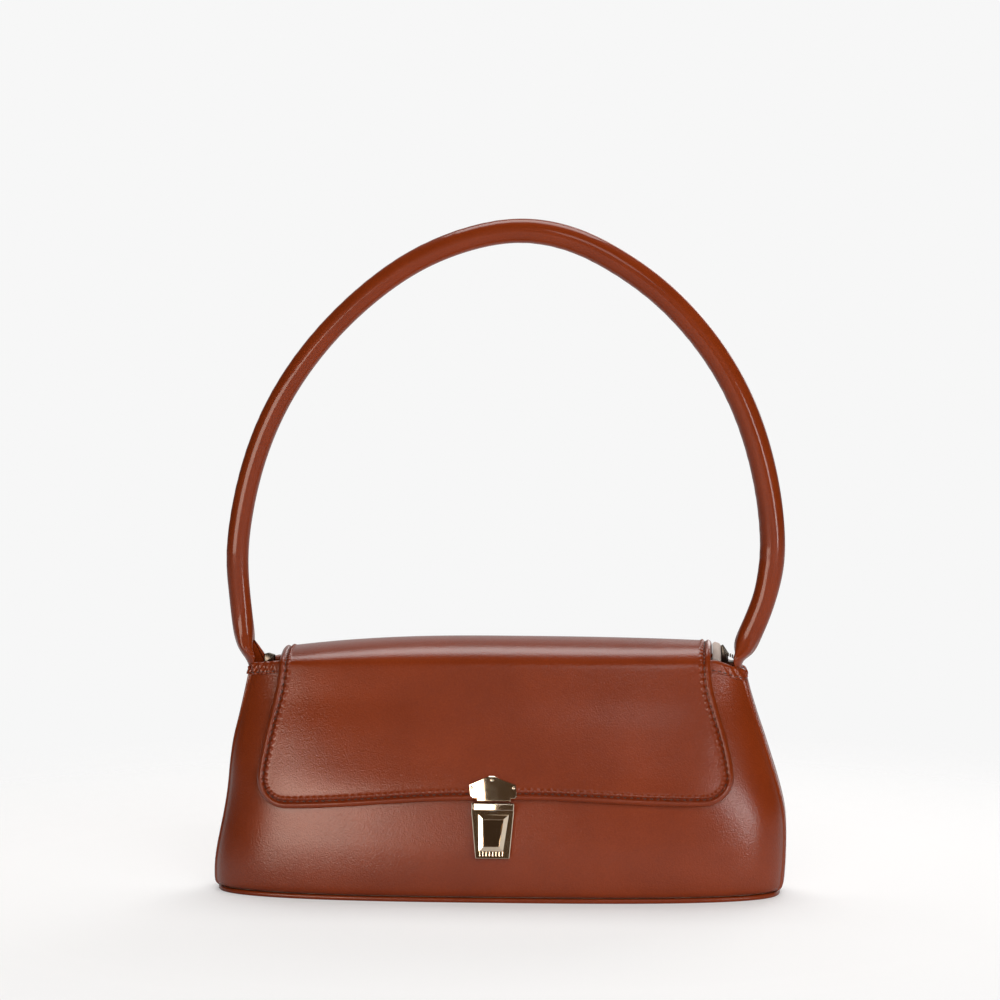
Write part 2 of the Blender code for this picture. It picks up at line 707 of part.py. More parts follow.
def makeSlider(parent):
    lowPlate = ZIP_HEIGHT - SLIDER_PLATE_LIFT - SLIDER_PLATE
    highPlate = ZIP_HEIGHT + SLIDER_PLATE_LIFT
    top = highPlate + SLIDER_PLATE
    outline = roundedOutline(SLIDER_HALF_LENGTH, SLIDER_HALF_WIDTH, SLIDER_CORNER, SLIDER_CENTRE, highPlate)
    slider = plate("zip_slider", outline, SLIDER_PLATE, "darkMetal", parent)
    outline = roundedOutline(SLIDER_HALF_LENGTH, SLIDER_HALF_WIDTH, SLIDER_CORNER, SLIDER_CENTRE, lowPlate)
    addBoolean(slider, plate("slider_low_plate", outline, SLIDER_PLATE, "darkMetal"), "UNION")
    postEnd = SLIDER_CENTRE + SLIDER_HALF_LENGTH - SLIDER_CORNER / 2
    inPlate = SLIDER_PLATE / 2
    post = box(
        "slider_post",
        (postEnd - SLIDER_POST_LENGTH, -SLIDER_POST_HALF_WIDTH, lowPlate + inPlate),
        (postEnd, SLIDER_POST_HALF_WIDTH, highPlate + inPlate),
        "darkMetal",
    )
    addBoolean(slider, post, "UNION")
    low = top - inPlate
    bailOutline = [
        (-BAIL_HALF_LENGTH, low), (-BAIL_HALF_LENGTH, top + BAIL_OPENING),
        (-BAIL_HALF_LENGTH + BAIL_WIRE, top + BAIL_OPENING + BAIL_WIRE),
        (BAIL_HALF_LENGTH - BAIL_WIRE, top + BAIL_OPENING + BAIL_WIRE),
        (BAIL_HALF_LENGTH, top + BAIL_OPENING), (BAIL_HALF_LENGTH, low),
        (BAIL_HALF_LENGTH - BAIL_WIRE, low), (BAIL_HALF_LENGTH - BAIL_WIRE, top + BAIL_OPENING),
        (-BAIL_HALF_LENGTH + BAIL_WIRE, top + BAIL_OPENING), (-BAIL_HALF_LENGTH + BAIL_WIRE, low),
    ]
    frame = Matrix.Translation((SLIDER_CENTRE, BAIL_HALF_WIDTH, 0))
    bail = prism("slider_bail", bailOutline, 2 * BAIL_HALF_WIDTH, "darkMetal", frame)
    addBoolean(slider, bail, "UNION")


def pullAxisHeight():
    return ZIP_HEIGHT + SLIDER_PLATE_LIFT + SLIDER_PLATE + BAIL_OPENING / 2


def makePull(parent):
    low = pullAxisHeight() - PULL_THICKNESS / 2
    back = PULL_THICKNESS / 2
    length = back + PULL_LENGTH
    centre = SLIDER_CENTRE - back + length / 2
    outline = roundedOutline(length / 2, PULL_HALF_WIDTH, PULL_CORNER, centre, low)
    pull = plate("zip_pull", outline, PULL_THICKNESS, "darkMetal", parent)
    overrun = PULL_THICKNESS
    window = box(
        "pull_window",
        (SLIDER_CENTRE + back, -PULL_WINDOW_HALF_WIDTH, low - overrun),
        (SLIDER_CENTRE + back + PULL_WINDOW_LENGTH, PULL_WINDOW_HALF_WIDTH, low + PULL_THICKNESS + overrun),
        "darkMetal",
    )
    addBoolean(pull, window, "DIFFERENCE")


# Lock

def leatherFrame(z, outward):
    # A frame on the front leather at x = 0: local Z runs up the leather and local -Y out of it
    point = skinPoint(-math.pi / 2, z, outward)
    rise = BODY_HEIGHT / 500
    up = (skinPoint(-math.pi / 2, z + rise) - skinPoint(-math.pi / 2, z - rise)).normalized()
    across = Vector((1, 0, 0))
    inward = up.cross(across)
    turn = Matrix((across, inward, up)).transposed().to_4x4()
    return Matrix.Translation(point) @ turn


def taper(lowHalf, highHalf, low, high):
    return [(-lowHalf, low), (lowHalf, low), (highHalf, high), (-highHalf, high)]


def halfWidthInCase(height):
    return mix(CASE_HALF_WIDTH_LOW, CASE_HALF_WIDTH_HIGH, height / CASE_TRAY_HEIGHT)


def caseFrame(outward=0.0):
    # The frame touches the leather halfway up the case; its zero height is the case's lower edge
    middle = (CASE_TRAY_HEIGHT + CASE_HEAD_HEIGHT) / 2
    return leatherFrame(LOCK_BOTTOM + middle, outward) @ Matrix.Translation((0, 0, -middle))


def makeCase():
    frame = caseFrame(GAP)
    top = CASE_TRAY_HEIGHT + CASE_HEAD_HEIGHT
    outline = [
        (-CASE_HALF_WIDTH_LOW, 0), (CASE_HALF_WIDTH_LOW, 0), (CASE_HALF_WIDTH_HIGH, CASE_TRAY_HEIGHT),
        (CASE_HALF_WIDTH_HIGH, top), (-CASE_HALF_WIDTH_HIGH, top), (-CASE_HALF_WIDTH_HIGH, CASE_TRAY_HEIGHT),
    ]
    case = prism("lock_case", outline, CASE_DEPTH, "paleGold", frame, bevel=CASE_BEVEL)
    forward = frame @ Matrix.Translation((0, -CASE_BACK, 0))
    trayTop = CASE_TRAY_HEIGHT - CASE_WALL
    trayOutline = taper(
        halfWidthInCase(CASE_WALL) - CASE_WALL, halfWidthInCase(trayTop) - CASE_WALL, CASE_WALL, trayTop
    )
    addBoolean(case, prism("tray_hollow", trayOutline, 2 * CASE_DEPTH, "paleGold", forward), "DIFFERENCE")
    overrun = CASE_HEAD_HEIGHT
    notchOutline = taper(HEAD_NOTCH_HALF_WIDTH, HEAD_NOTCH_HALF_WIDTH, CASE_TRAY_HEIGHT, top + overrun)
    addBoolean(case, prism("head_notch", notchOutline, 2 * CASE_DEPTH, "paleGold", forward), "DIFFERENCE")
    slotHalf = CATCH_HALF_WIDTH + GAP
    slot = box(
        "catch_slot",
        (-slotHalf, -(CATCH_DEPTH + CATCH_THICKNESS + GAP), trayTop - CASE_WALL),
        (slotHalf, -(CATCH_DEPTH - GAP), CASE_TRAY_HEIGHT + CASE_WALL),
        "paleGold",
        frame,
    )
    addBoolean(case, slot, "DIFFERENCE")
    springPostLow = BUTTON_FOOT + POCKET_IN_BUTTON_FOOT + GAP
    post = box(
        "spring_post",
        (-POCKET_IN_BUTTON_HALF_WIDTH + GAP, -(CASE_BACK + POCKET_IN_BUTTON_DEPTH - GAP), springPostLow),
        (POCKET_IN_BUTTON_HALF_WIDTH - GAP, -CASE_BACK / 2, springPostLow + SPRING_POST_LENGTH),
        "paleGold",
        frame,
    )
    addBoolean(case, post, "UNION")
    reach = GAP + LEATHER + BACK_WASHER_GAP + BACK_WASHER_THICKNESS
    for number, height in enumerate((STUD_HEIGHT_LOW, STUD_HEIGHT_HIGH)):
        studFrame = frame @ Matrix.Translation((0, 0, height))
        profile = [(0, CASE_BACK / 2), (STUD_RADIUS, CASE_BACK / 2), (STUD_RADIUS, -reach), (0, -reach)]
        stud = turned(f"case_stud_{number}", profile, "paleGold", studFrame)
        addBoolean(case, stud, "UNION")


def studHoles(name):
    # Clearance holes for the two studs behind the case, as cutters
    cutters = []
    reach = 4 * (LEATHER + BACK_WASHER_THICKNESS)
    for number, height in enumerate((STUD_HEIGHT_LOW, STUD_HEIGHT_HIGH)):
        frame = caseFrame() @ Matrix.Translation((0, 0, height))
        radius = STUD_RADIUS + GAP
        profile = [(0, reach), (radius, reach), (radius, -reach), (0, -reach)]
        cutters.append(turned(f"{name}_{number}", profile, "paleGold", frame))
    return cutters


def makeBackWasher(holes):
    frame = caseFrame(-(LEATHER + BACK_WASHER_GAP + BACK_WASHER_THICKNESS))
    middle = (STUD_HEIGHT_LOW + STUD_HEIGHT_HIGH) / 2
    low, high = middle - BACK_WASHER_HEIGHT / 2, middle + BACK_WASHER_HEIGHT / 2
    outline = taper(BACK_WASHER_HALF_WIDTH, BACK_WASHER_HALF_WIDTH, low, high)
    washer = prism("lock_back_washer", outline, BACK_WASHER_THICKNESS, "steel", frame)
    for hole in holes:
        addBoolean(washer, hole, "DIFFERENCE")


BUTTON_TOP = CASE_TRAY_HEIGHT - CASE_WALL - GAP
BUTTON_FOOT = BUTTON_TOP - BUTTON_LENGTH


def halfWidthInButton(height):
    share = (height - BUTTON_FOOT) / BUTTON_LENGTH
    return mix(BUTTON_HALF_WIDTH_LOW, BUTTON_HALF_WIDTH_HIGH, share)


def makeButton(parent):
    frame = caseFrame(GAP + CASE_BACK + GAP)
    outline = taper(BUTTON_HALF_WIDTH_LOW, BUTTON_HALF_WIDTH_HIGH, BUTTON_FOOT, BUTTON_TOP)
    button = prism("lock_button", outline, BUTTON_DEPTH, "paleGold", frame, parent, BUTTON_BEVEL)
    inlayLow = BUTTON_FOOT + INLAY_FOOT
    inlayHigh = inlayLow + INLAY_LENGTH
    recessFrame = frame @ Matrix.Translation((0, -(BUTTON_DEPTH - INLAY_RECESS), 0))
    outline = taper(INLAY_HALF_WIDTH_LOW, INLAY_HALF_WIDTH_HIGH, inlayLow, inlayHigh)
    recess = prism("inlay_recess", outline, 2 * INLAY_RECESS, "paleGold", recessFrame)
    addBoolean(button, recess, "DIFFERENCE")
    inner = GAP
    outline = taper(
        INLAY_HALF_WIDTH_LOW - inner, INLAY_HALF_WIDTH_HIGH - inner, inlayLow + inner, inlayHigh - inner
    )
    seat = recessFrame @ Matrix.Translation((0, -GAP, 0))
    face = prism("lock_button_face", outline, INLAY_RECESS, "mirror", seat, parent)
    addBevel(face, INLAY_CLEARANCE)
    pocketLow = BUTTON_FOOT + POCKET_IN_BUTTON_FOOT
    overrun = POCKET_IN_BUTTON_DEPTH
    pocket = box(
        "button_pocket",
        (-POCKET_IN_BUTTON_HALF_WIDTH, -POCKET_IN_BUTTON_DEPTH, pocketLow),
        (POCKET_IN_BUTTON_HALF_WIDTH, overrun, pocketLow + POCKET_IN_BUTTON_LENGTH),
        "paleGold",
        frame,
    )
    addBoolean(button, pocket, "DIFFERENCE")
    slotBack = CATCH_DEPTH - CASE_BACK - GAP - GAP
    slotFront = CATCH_DEPTH - CASE_BACK + CATCH_THICKNESS
    catchSlot = box(
        "button_catch_slot",
        (-(CATCH_HALF_WIDTH + GAP), -slotFront, BUTTON_TOP - CATCH_FOOT - GAP),
        (CATCH_HALF_WIDTH + GAP, -slotBack, BUTTON_TOP + CATCH_FOOT),
        "paleGold",
        frame,
    )
    addBoolean(button, catchSlot, "DIFFERENCE")


def makeCatch(parent):
    # A leaf that rises out of the button, through the case, in front of the hook's lip
    frame = caseFrame(GAP)
    high = HOOK_FOOT + HOOK_LIP_HEIGHT - GAP
    box(
        "lock_catch",
        (-CATCH_HALF_WIDTH, -(CATCH_DEPTH + CATCH_THICKNESS), BUTTON_TOP - CATCH_FOOT),
        (CATCH_HALF_WIDTH, -CATCH_DEPTH, high),
        "steel",
        frame,
        parent,
    )


def joinRings(bm, rings, capped=True):
    # Quads between neighbouring rings of vertices, and a face over each end
    sides = len(rings[0])
    for first, second in zip(rings, rings[1:]):
        for i in range(sides):
            j = (i + 1) % sides
            bm.faces.new((first[i], first[j], second[j], second[i]))
    if capped:
        bm.faces.new(rings[0])
        bm.faces.new(rings[-1])


def sweepTube(name, route, radii, sides, materialName, parent=None, frame=None, upright=(0, 1, 0), inner=None):
    # Rings of points along a route; an inner radius leaves the tube open from end to end
    def makeRings(bm, sizes):
        rings = []
        for index, centre in enumerate(route):
            ahead = route[min(index + 1, len(route) - 1)] - route[max(index - 1, 0)]
            ahead.normalize()
            side = Vector(upright).cross(ahead).normalized()
            other = ahead.cross(side)
            ring = []
            for step in range(sides):
                turn = math.tau * step / sides
                offset = side * math.cos(turn) * sizes[index][0] + other * math.sin(turn) * sizes[index][1]
                ring.append(bm.verts.new(centre + offset))
            rings.append(ring)
        return rings

    bm = bmesh.new()
    outer = makeRings(bm, radii)
    if inner:
        core = makeRings(bm, inner)
        joinRings(bm, outer, capped=False)
        joinRings(bm, core, capped=False)
        joinRings(bm, [outer[0], core[0]], capped=False)
        joinRings(bm, [outer[-1], core[-1]], capped=False)
    else:
        joinRings(bm, outer)
    return makeObject(name, bm, materialName, parent, frame)


def makeSpring():
    frame = caseFrame(GAP)
    low = BUTTON_FOOT + POCKET_IN_BUTTON_FOOT + GAP + SPRING_POST_LENGTH + GAP + SPRING_WIRE_RADIUS
    high = BUTTON_FOOT + POCKET_IN_BUTTON_FOOT + POCKET_IN_BUTTON_LENGTH - GAP - SPRING_WIRE_RADIUS
    depth = CASE_BACK + GAP + SPRING_RADIUS + SPRING_WIRE_RADIUS
    route = []
    pointsPerTurn = 6
    for step in range(SPRING_TURNS * pointsPerTurn + 1):
        turn = math.tau * step / pointsPerTurn
        rise = mix(low, high, step / (SPRING_TURNS * pointsPerTurn))
        route.append(Vector((SPRING_RADIUS * math.cos(turn), -depth + SPRING_RADIUS * math.sin(turn), rise)))
    radii = [(SPRING_WIRE_RADIUS, SPRING_WIRE_RADIUS)] * len(route)
    sweepTube("lock_spring", route, radii, 4, "steel", frame=frame, upright=(0, 0, 1))


# Lock pieces on the flap

PLATE_FOOT = LOCK_BOTTOM + CASE_TRAY_HEIGHT + CASE_HEAD_HEIGHT + NECK_LENGTH
BAR_LOW = CASE_TRAY_HEIGHT + CASE_HEAD_HEIGHT - BAR_HEIGHT
HOOK_FOOT = CASE_TRAY_HEIGHT + GAP


def plateFrame(outward):
    middle = PLATE_HEIGHT / 2
    return leatherFrame(PLATE_FOOT + middle, outward) @ Matrix.Translation((0, 0, -middle))


def makeLockPlate(parent):
    frame = plateFrame(FLAP_OUTSIDE + GAP)
    cut = PLATE_CORNER
    apex = cut
    right = [
        (NECK_HALF_WIDTH, -NECK_LENGTH), (NECK_HALF_WIDTH, 0), (PLATE_HALF_WIDTH - cut, 0),
        (PLATE_HALF_WIDTH, cut), (PLATE_HALF_WIDTH, PLATE_SHOULDER), (apex, PLATE_HEIGHT),
    ]
    left = [(-x, z) for x, z in reversed(right)]
    return prism("lock_plate", right + left, PLATE_THICKNESS, "paleGold", frame, parent)


def makeBar(parent):
    frame = caseFrame(GAP)
    near = CASE_DEPTH + GAP + GAP
    bar = box(
        "lock_bar",
        (-BAR_HALF_WIDTH, -(near + BAR_DEPTH), BAR_LOW),
        (BAR_HALF_WIDTH, -near, BAR_LOW + BAR_HEIGHT - GAP),
        "paleGold",
        frame,
        parent,
    )
    addBevel(bar, BAR_CHAMFER)
    inBar = BAR_DEPTH / 2
    inner = CATCH_DEPTH - GAP - HOOK_LIP_THICKNESS
    lipTop = HOOK_FOOT + HOOK_LIP_HEIGHT
    frameHook = frame @ Matrix.Translation((HOOK_HALF_WIDTH, 0, 0)) @ Matrix.Rotation(math.pi / 2, 4, "Z")
    outline = [
        (-near - inBar, lipTop), (-inner - HOOK_LIP_THICKNESS, lipTop), (-inner - HOOK_LIP_THICKNESS, HOOK_FOOT),
        (-inner, HOOK_FOOT), (-inner, lipTop + HOOK_THICKNESS), (-near - inBar, lipTop + HOOK_THICKNESS),
    ]
    hook = prism("bar_hook", outline, -2 * HOOK_HALF_WIDTH, "paleGold", frameHook)
    addBoolean(bar, hook, "UNION")


def rivetPlaces():
    return (
        ("left", -RIVET_SIDE, RIVET_SIDE_HEIGHT), ("top", 0, RIVET_TOP_HEIGHT),
        ("right", RIVET_SIDE, RIVET_SIDE_HEIGHT),
    )


def makeRivets(parent):
    holes = []
    for name, x, height in rivetPlaces():
        frame = plateFrame(0) @ Matrix.Translation((x, 0, height))
        face = FLAP_OUTSIDE + GAP + PLATE_THICKNESS + GAP
        back = FLAP_STAND_OFF - GAP - WASHER_THICKNESS - GAP
        shoulderRadius = RIVET_HEAD_RADIUS * RIVET_SHOULDER_SHARES[0]
        shoulder = face + RIVET_HEAD_HEIGHT * RIVET_SHOULDER_SHARES[1]
        profile = [
            (0, face + RIVET_HEAD_HEIGHT), (shoulderRadius, shoulder),
            (RIVET_HEAD_RADIUS, face), (RIVET_RADIUS, face), (RIVET_RADIUS, back),
            (RIVET_HEAD_RADIUS, back), (RIVET_HEAD_RADIUS, back - RIVET_TAIL_HEIGHT), (0, back - RIVET_TAIL_HEIGHT),
        ]
        turned(f"lock_rivet_{name}", profile, "paleGold", frame, 8, parent)
        reach = 2 * face
        radius = RIVET_RADIUS + RIVET_CLEARANCE
        holeProfile = [(0, reach), (radius, reach), (radius, 0), (0, 0)]
        holes.append(turned(f"rivet_hole_{name}", holeProfile, "paleGold", frame, 8))
    return holes


def makeFlapWasher(parent):
    frame = plateFrame(FLAP_STAND_OFF - GAP - WASHER_THICKNESS)
    low = RIVET_SIDE_HEIGHT + RIVET_TOP_HEIGHT
    middle = low / 2
    outline = taper(WASHER_HALF_WIDTH, WASHER_HALF_WIDTH, middle - WASHER_HEIGHT / 2, middle + WASHER_HEIGHT / 2)
    return prism("lock_flap_washer", outline, WASHER_THICKNESS, "steel", frame, parent)


# Handle

def handlePoint(side, heightShare):
    column = 1 if side < 0 else 2
    rise = HANDLE_HEIGHT - HANDLE_FOOT_HEIGHT
    x = HANDLE_HALF_SPAN * readTable(HANDLE_SHARES, heightShare, column)
    return Vector((x, 0, HANDLE_FOOT_HEIGHT + rise * heightShare))


def handleRoute(steps):
    # Evenly spaced points on the smooth curve through the table, from the left root to the right
    guide = [handlePoint(-1, row[0]) for row in HANDLE_SHARES]
    guide.append(Vector((HANDLE_HALF_SPAN * HANDLE_APEX_SHARE, 0, HANDLE_HEIGHT)))
    guide += [handlePoint(1, row[0]) for row in reversed(HANDLE_SHARES)]
    fine = []
    for index in range(len(guide) - 1):
        before = guide[max(index - 1, 0)]
        start, end = guide[index], guide[index + 1]
        after = guide[min(index + 2, len(guide) - 1)]
        for step in range(8):
            t = step / 8
            fine.append(
                0.5 * ((2 * start) + (end - before) * t + (2 * before - 5 * start + 4 * end - after) * t * t
                       + (3 * start - before - 3 * end + after) * t**3)
            )
    fine.append(guide[-1])
    fine = [point for point in fine if point.z >= HANDLE_START]
    lengths = [0.0]
    for first, second in zip(fine, fine[1:]):
        lengths.append(lengths[-1] + (second - first).length)
    route = []
    for step in range(steps + 1):
        at = lengths[-1] * step / steps
        index = min(max(i for i in range(len(lengths)) if lengths[i] <= at), len(fine) - 2)
        span = lengths[index + 1] - lengths[index]
        route.append(fine[index].lerp(fine[index + 1], (at - lengths[index]) / span))
    return route


def handleRadii(route, less):
    radii = []
    for index, point in enumerate(route):
        along = easeBetween(*HANDLE_THICKENING_SHARES, index / (len(route) - 1))
        radius = mix(HANDLE_RADIUS_LEFT, HANDLE_RADIUS_RIGHT, along)
        pinch = mix(HANDLE_PINCH_SHARE, 1, easeBetween(HANDLE_START, HANDLE_START + HANDLE_PINCH_HEIGHT, point.z))
        radii.append((radius * pinch - less, radius - less))
    return radii


def makeHandle(parent):
    route = handleRoute(HANDLE_STEPS)
    wall = handleRadii(route, HANDLE_WALL)
    sweepTube("handle_cover", route, handleRadii(route, 0), 10, "leather", parent, inner=wall)
    sweepTube("handle_core", route, handleRadii(route, HANDLE_WALL + CORE_CLEARANCE), 6, "core", parent)


def makeRoot(name, side):
    # The flattened end of the tube: sewn inside the gusset below, rounding to the tube above
    route = handleRoute(HANDLE_STEPS)
    end, beyond = (route[0], route[1]) if side < 0 else (route[-1], route[-2])
    direction = (beyond - end).normalized()
    radius = handleRadii(route, 0)[0 if side < 0 else -1]
    low = BODY_HEIGHT - ROOT_DROP
    inside = LEATHER + 2 * GAP + ROOT_THICKNESS / 2
    sides = 12
    turns = [math.tau * step / sides for step in range(sides)]
    bm = bmesh.new()
    rings = []

    def addRing(points):
        rings.append([bm.verts.new(point) for point in points])

    for share in ROOT_SEWN_SHARES:
        z = mix(low, BODY_HEIGHT - RIM_END_DROP, share)
        wide = ROOT_HALF_WIDTH * mix(ROOT_TIP_SHARE, 1, easeBetween(0, ROOT_WIDENING_SHARE, share))
        points = []
        for turn in turns:
            y = wide * math.sin(turn)
            outward = ROOT_THICKNESS / 2 * math.cos(turn) - inside
            point = skinPoint(math.copysign(angleAtDepth(y, z), y), z, outward)
            points.append(Vector((side * point.x, point.y, z)))
        addRing(points)
    start = Vector((side * skinPoint(0, BODY_HEIGHT, -inside).x, 0, BODY_HEIGHT))
    top = end - direction * GAP
    thinWay = Vector((0, 1, 0)).cross(direction) * side
    for share in ROOT_FREE_SHARES:
        centre = start.lerp(top, share)
        thick = mix(ROOT_THICKNESS / 2, radius[0], share)
        wide = mix(ROOT_HALF_WIDTH, radius[1], share)
        addRing([centre + thinWay * thick * math.cos(t) + Vector((0, wide * math.sin(t), 0)) for t in turns])
    joinRings(bm, rings)
    makeObject(name, bm, "leather")


# Assembly

flapAxis = makeAxis("flap_axis", hingeLine(FLAP_OUTSIDE))
handleAxis = makeAxis("handle_axis", Vector((0, 0, HANDLE_PIVOT_HEIGHT)))
buttonAxis = makeAxis("button_axis", caseFrame().translation)
sliderAxis = makeAxis("slider_axis", Vector((SLIDER_CENTRE, 0, ZIP_HEIGHT)))
pullAxis = makeAxis("pull_axis", Vector((SLIDER_CENTRE, 0, pullAxisHeight())), sliderAxis)

frontPanel = makePanel("front_panel", -1)
makePanel("back_panel", 1)
makeGusset("gusset_right", 0)
makeGusset("gusset_left", math.pi)
makeBase()
makeLining()
makePocket()
makeBinding("mouth_binding_front", -1)
makeBinding("mouth_binding_back", 1)

makeTape("zip_tape_front", -1)
makeTape("zip_tape_back", 1)
makeTeeth("zip_teeth_front", -1, 0)
makeTeeth("zip_teeth_back", 1, TEETH_PITCH / 2)
makeEndTab("zip_end_left", -1)
makeEndTab("zip_end_right", 1)
makeSlider(sliderAxis)
makePull(pullAxis)

makeAnchor()
flap = makeFlapLayer("flap", FLAP_OUTSIDE, FLAP_LEATHER, "leather", flapAxis)
flapLiningOutside = FLAP_STAND_OFF + FLAP_LINING_THICKNESS
flapLining = makeFlapLayer("flap_lining", flapLiningOutside, FLAP_LINING_THICKNESS, "leatherEdge", flapAxis)
lockPlate = makeLockPlate(flapAxis)
flapWasher = makeFlapWasher(flapAxis)
for rivetHole in makeRivets(flapAxis):
    for holed in (flap, flapLining, lockPlate, flapWasher):
        addBoolean(holed, rivetHole, "DIFFERENCE")
makeBar(flapAxis)

makeCase()
caseHoles = studHoles("stud_hole")
for caseHole in caseHoles:
    addBoolean(frontPanel, caseHole, "DIFFERENCE")
makeBackWasher(caseHoles)
makeButton(buttonAxis)
makeCatch(buttonAxis)
makeSpring()

makeHandle(handleAxis)
makeRoot("handle_root_left", -1)
makeRoot("handle_root_right", 1)
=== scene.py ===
from bisect import bisect_left
import math

import bmesh
import bpy
from mathutils import Matrix, Vector, kdtree


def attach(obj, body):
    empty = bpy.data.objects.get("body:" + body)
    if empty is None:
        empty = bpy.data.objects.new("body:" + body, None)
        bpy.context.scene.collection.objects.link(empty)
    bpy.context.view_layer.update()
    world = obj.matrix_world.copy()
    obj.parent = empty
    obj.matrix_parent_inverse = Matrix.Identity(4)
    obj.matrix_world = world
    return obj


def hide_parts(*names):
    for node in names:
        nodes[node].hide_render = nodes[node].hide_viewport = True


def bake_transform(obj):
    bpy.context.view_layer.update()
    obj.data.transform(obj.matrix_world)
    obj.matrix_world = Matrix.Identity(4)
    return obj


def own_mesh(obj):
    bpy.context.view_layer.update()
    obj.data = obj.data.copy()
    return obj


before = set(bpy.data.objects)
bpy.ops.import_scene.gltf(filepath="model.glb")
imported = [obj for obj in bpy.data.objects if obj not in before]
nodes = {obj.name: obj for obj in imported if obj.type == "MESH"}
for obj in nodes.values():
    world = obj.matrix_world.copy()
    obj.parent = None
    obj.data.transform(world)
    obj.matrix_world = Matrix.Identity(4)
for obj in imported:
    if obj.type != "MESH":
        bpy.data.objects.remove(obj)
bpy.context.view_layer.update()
print("frame loaded,", len(nodes), "nodes")


# Small helpers

def mix(low, high, share):
    return low + (high - low) * share


def ease(low, high, at):
    t = min(1.0, max(0.0, (at - low) / (high - low)))
    return t * t * (3 - 2 * t)


def bump(at, centre, width):
    return math.exp(-(((at - centre) / width) ** 2))


def readTable(table, at, column=1):
    # A smooth curve through the table's rows
    rows = [(row[0], row[column]) for row in table]
    if at <= rows[0][0]:
        return rows[0][1]
    if at >= rows[-1][0]:
        return rows[-1][1]
    last = len(rows) - 1
    index = max(i for i in range(last) if rows[i][0] <= at)

    def slope(i):
        low, high = rows[max(0, i - 1)], rows[min(last, i + 1)]
        return (high[1] - low[1]) / (high[0] - low[0])

    (x0, y0), (x1, y1) = rows[index], rows[index + 1]
    span = x1 - x0
    t = (at - x0) / span
    return (
        y0 * (2 * t**3 - 3 * t**2 + 1)
        + slope(index) * span * (t**3 - 2 * t**2 + t)
        + y1 * (3 * t**2 - 2 * t**3)
        + slope(index + 1) * span * (t**3 - t**2)
    )


def nearEnds(u, share):
    # Draws the columns of a grid towards its two ends
    return mix(u, (1 - math.cos(math.pi * u)) / 2, share)


def newVerts(pushed):
    return [item for item in pushed["geom"] if isinstance(item, bmesh.types.BMVert)]


def bevelParts(bm, parts, offset, segments, kind="EDGES"):
    bmesh.ops.bevel(
        bm, geom=parts, offset=offset, offset_type="OFFSET", segments=segments, profile=0.5,
        affect=kind, material=-1
    )


def finishMesh(name, bm, material, smoothAngle=35):
    bmesh.ops.recalc_face_normals(bm, faces=bm.faces)
    mesh = bpy.data.meshes.new(name)
    bm.to_mesh(mesh)
    bm.free()
    mesh.shade_smooth()
    mesh.set_sharp_from_angle(angle=math.radians(smoothAngle))
    piece = bpy.data.objects.new(name, mesh)
    bpy.context.collection.objects.link(piece)
    mesh.materials.append(material)
    return piece


def place(piece, bodyName, slotName, *replaced):
    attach(piece, bodyName)
    if replaced:
        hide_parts(*replaced)
    return piece


def gridSheet(name, columns, rows, pointAt, thickness, material, closed=False):
    # A grid laid over a formula and pushed through its thickness; a closed one is joined and gets a floor
    bm = bmesh.new()
    bmesh.ops.create_grid(bm, x_segments=columns, y_segments=rows, size=1.0)
    across = bm.verts.layers.float.new("across")
    upward = bm.verts.layers.float.new("upward")
    for vertex in bm.verts:
        vertex[across] = (vertex.co.x + 1) / 2
        vertex[upward] = (vertex.co.y + 1) / 2
        vertex.co = pointAt(vertex[across], vertex[upward], 0)
    if closed:
        bmesh.ops.remove_doubles(bm, verts=bm.verts, dist=0.000002)
        hem = [e for e in bm.edges if e.is_boundary and all(v[upward] < 0.5 for v in e.verts)]
        bmesh.ops.edgeloop_fill(bm, edges=hem)
    for item in newVerts(bmesh.ops.extrude_face_region(bm, geom=list(bm.faces))):
        item.co = pointAt(item[across], item[upward], thickness)
    return finishMesh(name, bm, material, 60)


# Body: the plan at each height is a rounded oblong; widths and depths are shares of the largest, by height
body = {
    "height": 0.1112, "halfWidth": 0.1362, "halfDepth": 0.0400, "planPower": 2.8, "leather": 0.0014,
    "gap": 0.0003,
    "widthShares": (
        (0.0, 0.984), (0.03, 0.994), (0.06, 0.999), (0.14, 1.0), (0.25, 0.993), (0.36, 0.981),
        (0.46, 0.966), (0.56, 0.950), (0.67, 0.929), (0.77, 0.905), (0.87, 0.882), (0.95, 0.866),
        (1.0, 0.858),
    ),
    "depthShares": (
        (0.0, 0.955), (0.03, 0.982), (0.06, 0.995), (0.15, 1.0), (0.26, 0.985), (0.46, 0.915),
        (0.60, 0.82), (0.72, 0.715), (0.85, 0.58), (1.0, 0.45),
    ),
    "tableSteps": 800, "probeTurn": 0.05, "probeSteps": 500, "aimSteps": 5, "settleSteps": 4,
    "seamDepthLow": 0.0108, "seamDepthHigh": 0.0052, "seamRise": 0.0006, "seamAt": 0.0006,
    "seamWidth": 0.0008,
    "seamCut": 0.0006, "seamCutWidth": 0.0004,
    "lean": 0.0030, "leanAt": 0.042, "leanReach": 0.024, "leftSpread": 0.0012,
    "leftSpreadShares": (0.70, 0.95),
    "rimDropRight": 0.0045, "rimDropLeft": 0.0016, "rimEndShares": (0.87, 1.0),
    "rimLeftDrop": 0.0020, "rimLeftShares": (0.66, 0.90), "gussetDip": 0.0030,
    "gussetDipShares": (0.05, 0.27),
    "low": 0.0026, "rollIn": 0.0011, "rollHeight": 0.0022,
}


def denseValues(table, scale):
    steps = body["tableSteps"]
    return [scale * readTable(table, i / steps) for i in range(steps + 1)]


def readDense(values, share):
    at = min(1.0, max(0.0, share)) * (len(values) - 1)
    index = min(int(at), len(values) - 2)
    return mix(values[index], values[index + 1], at - index)


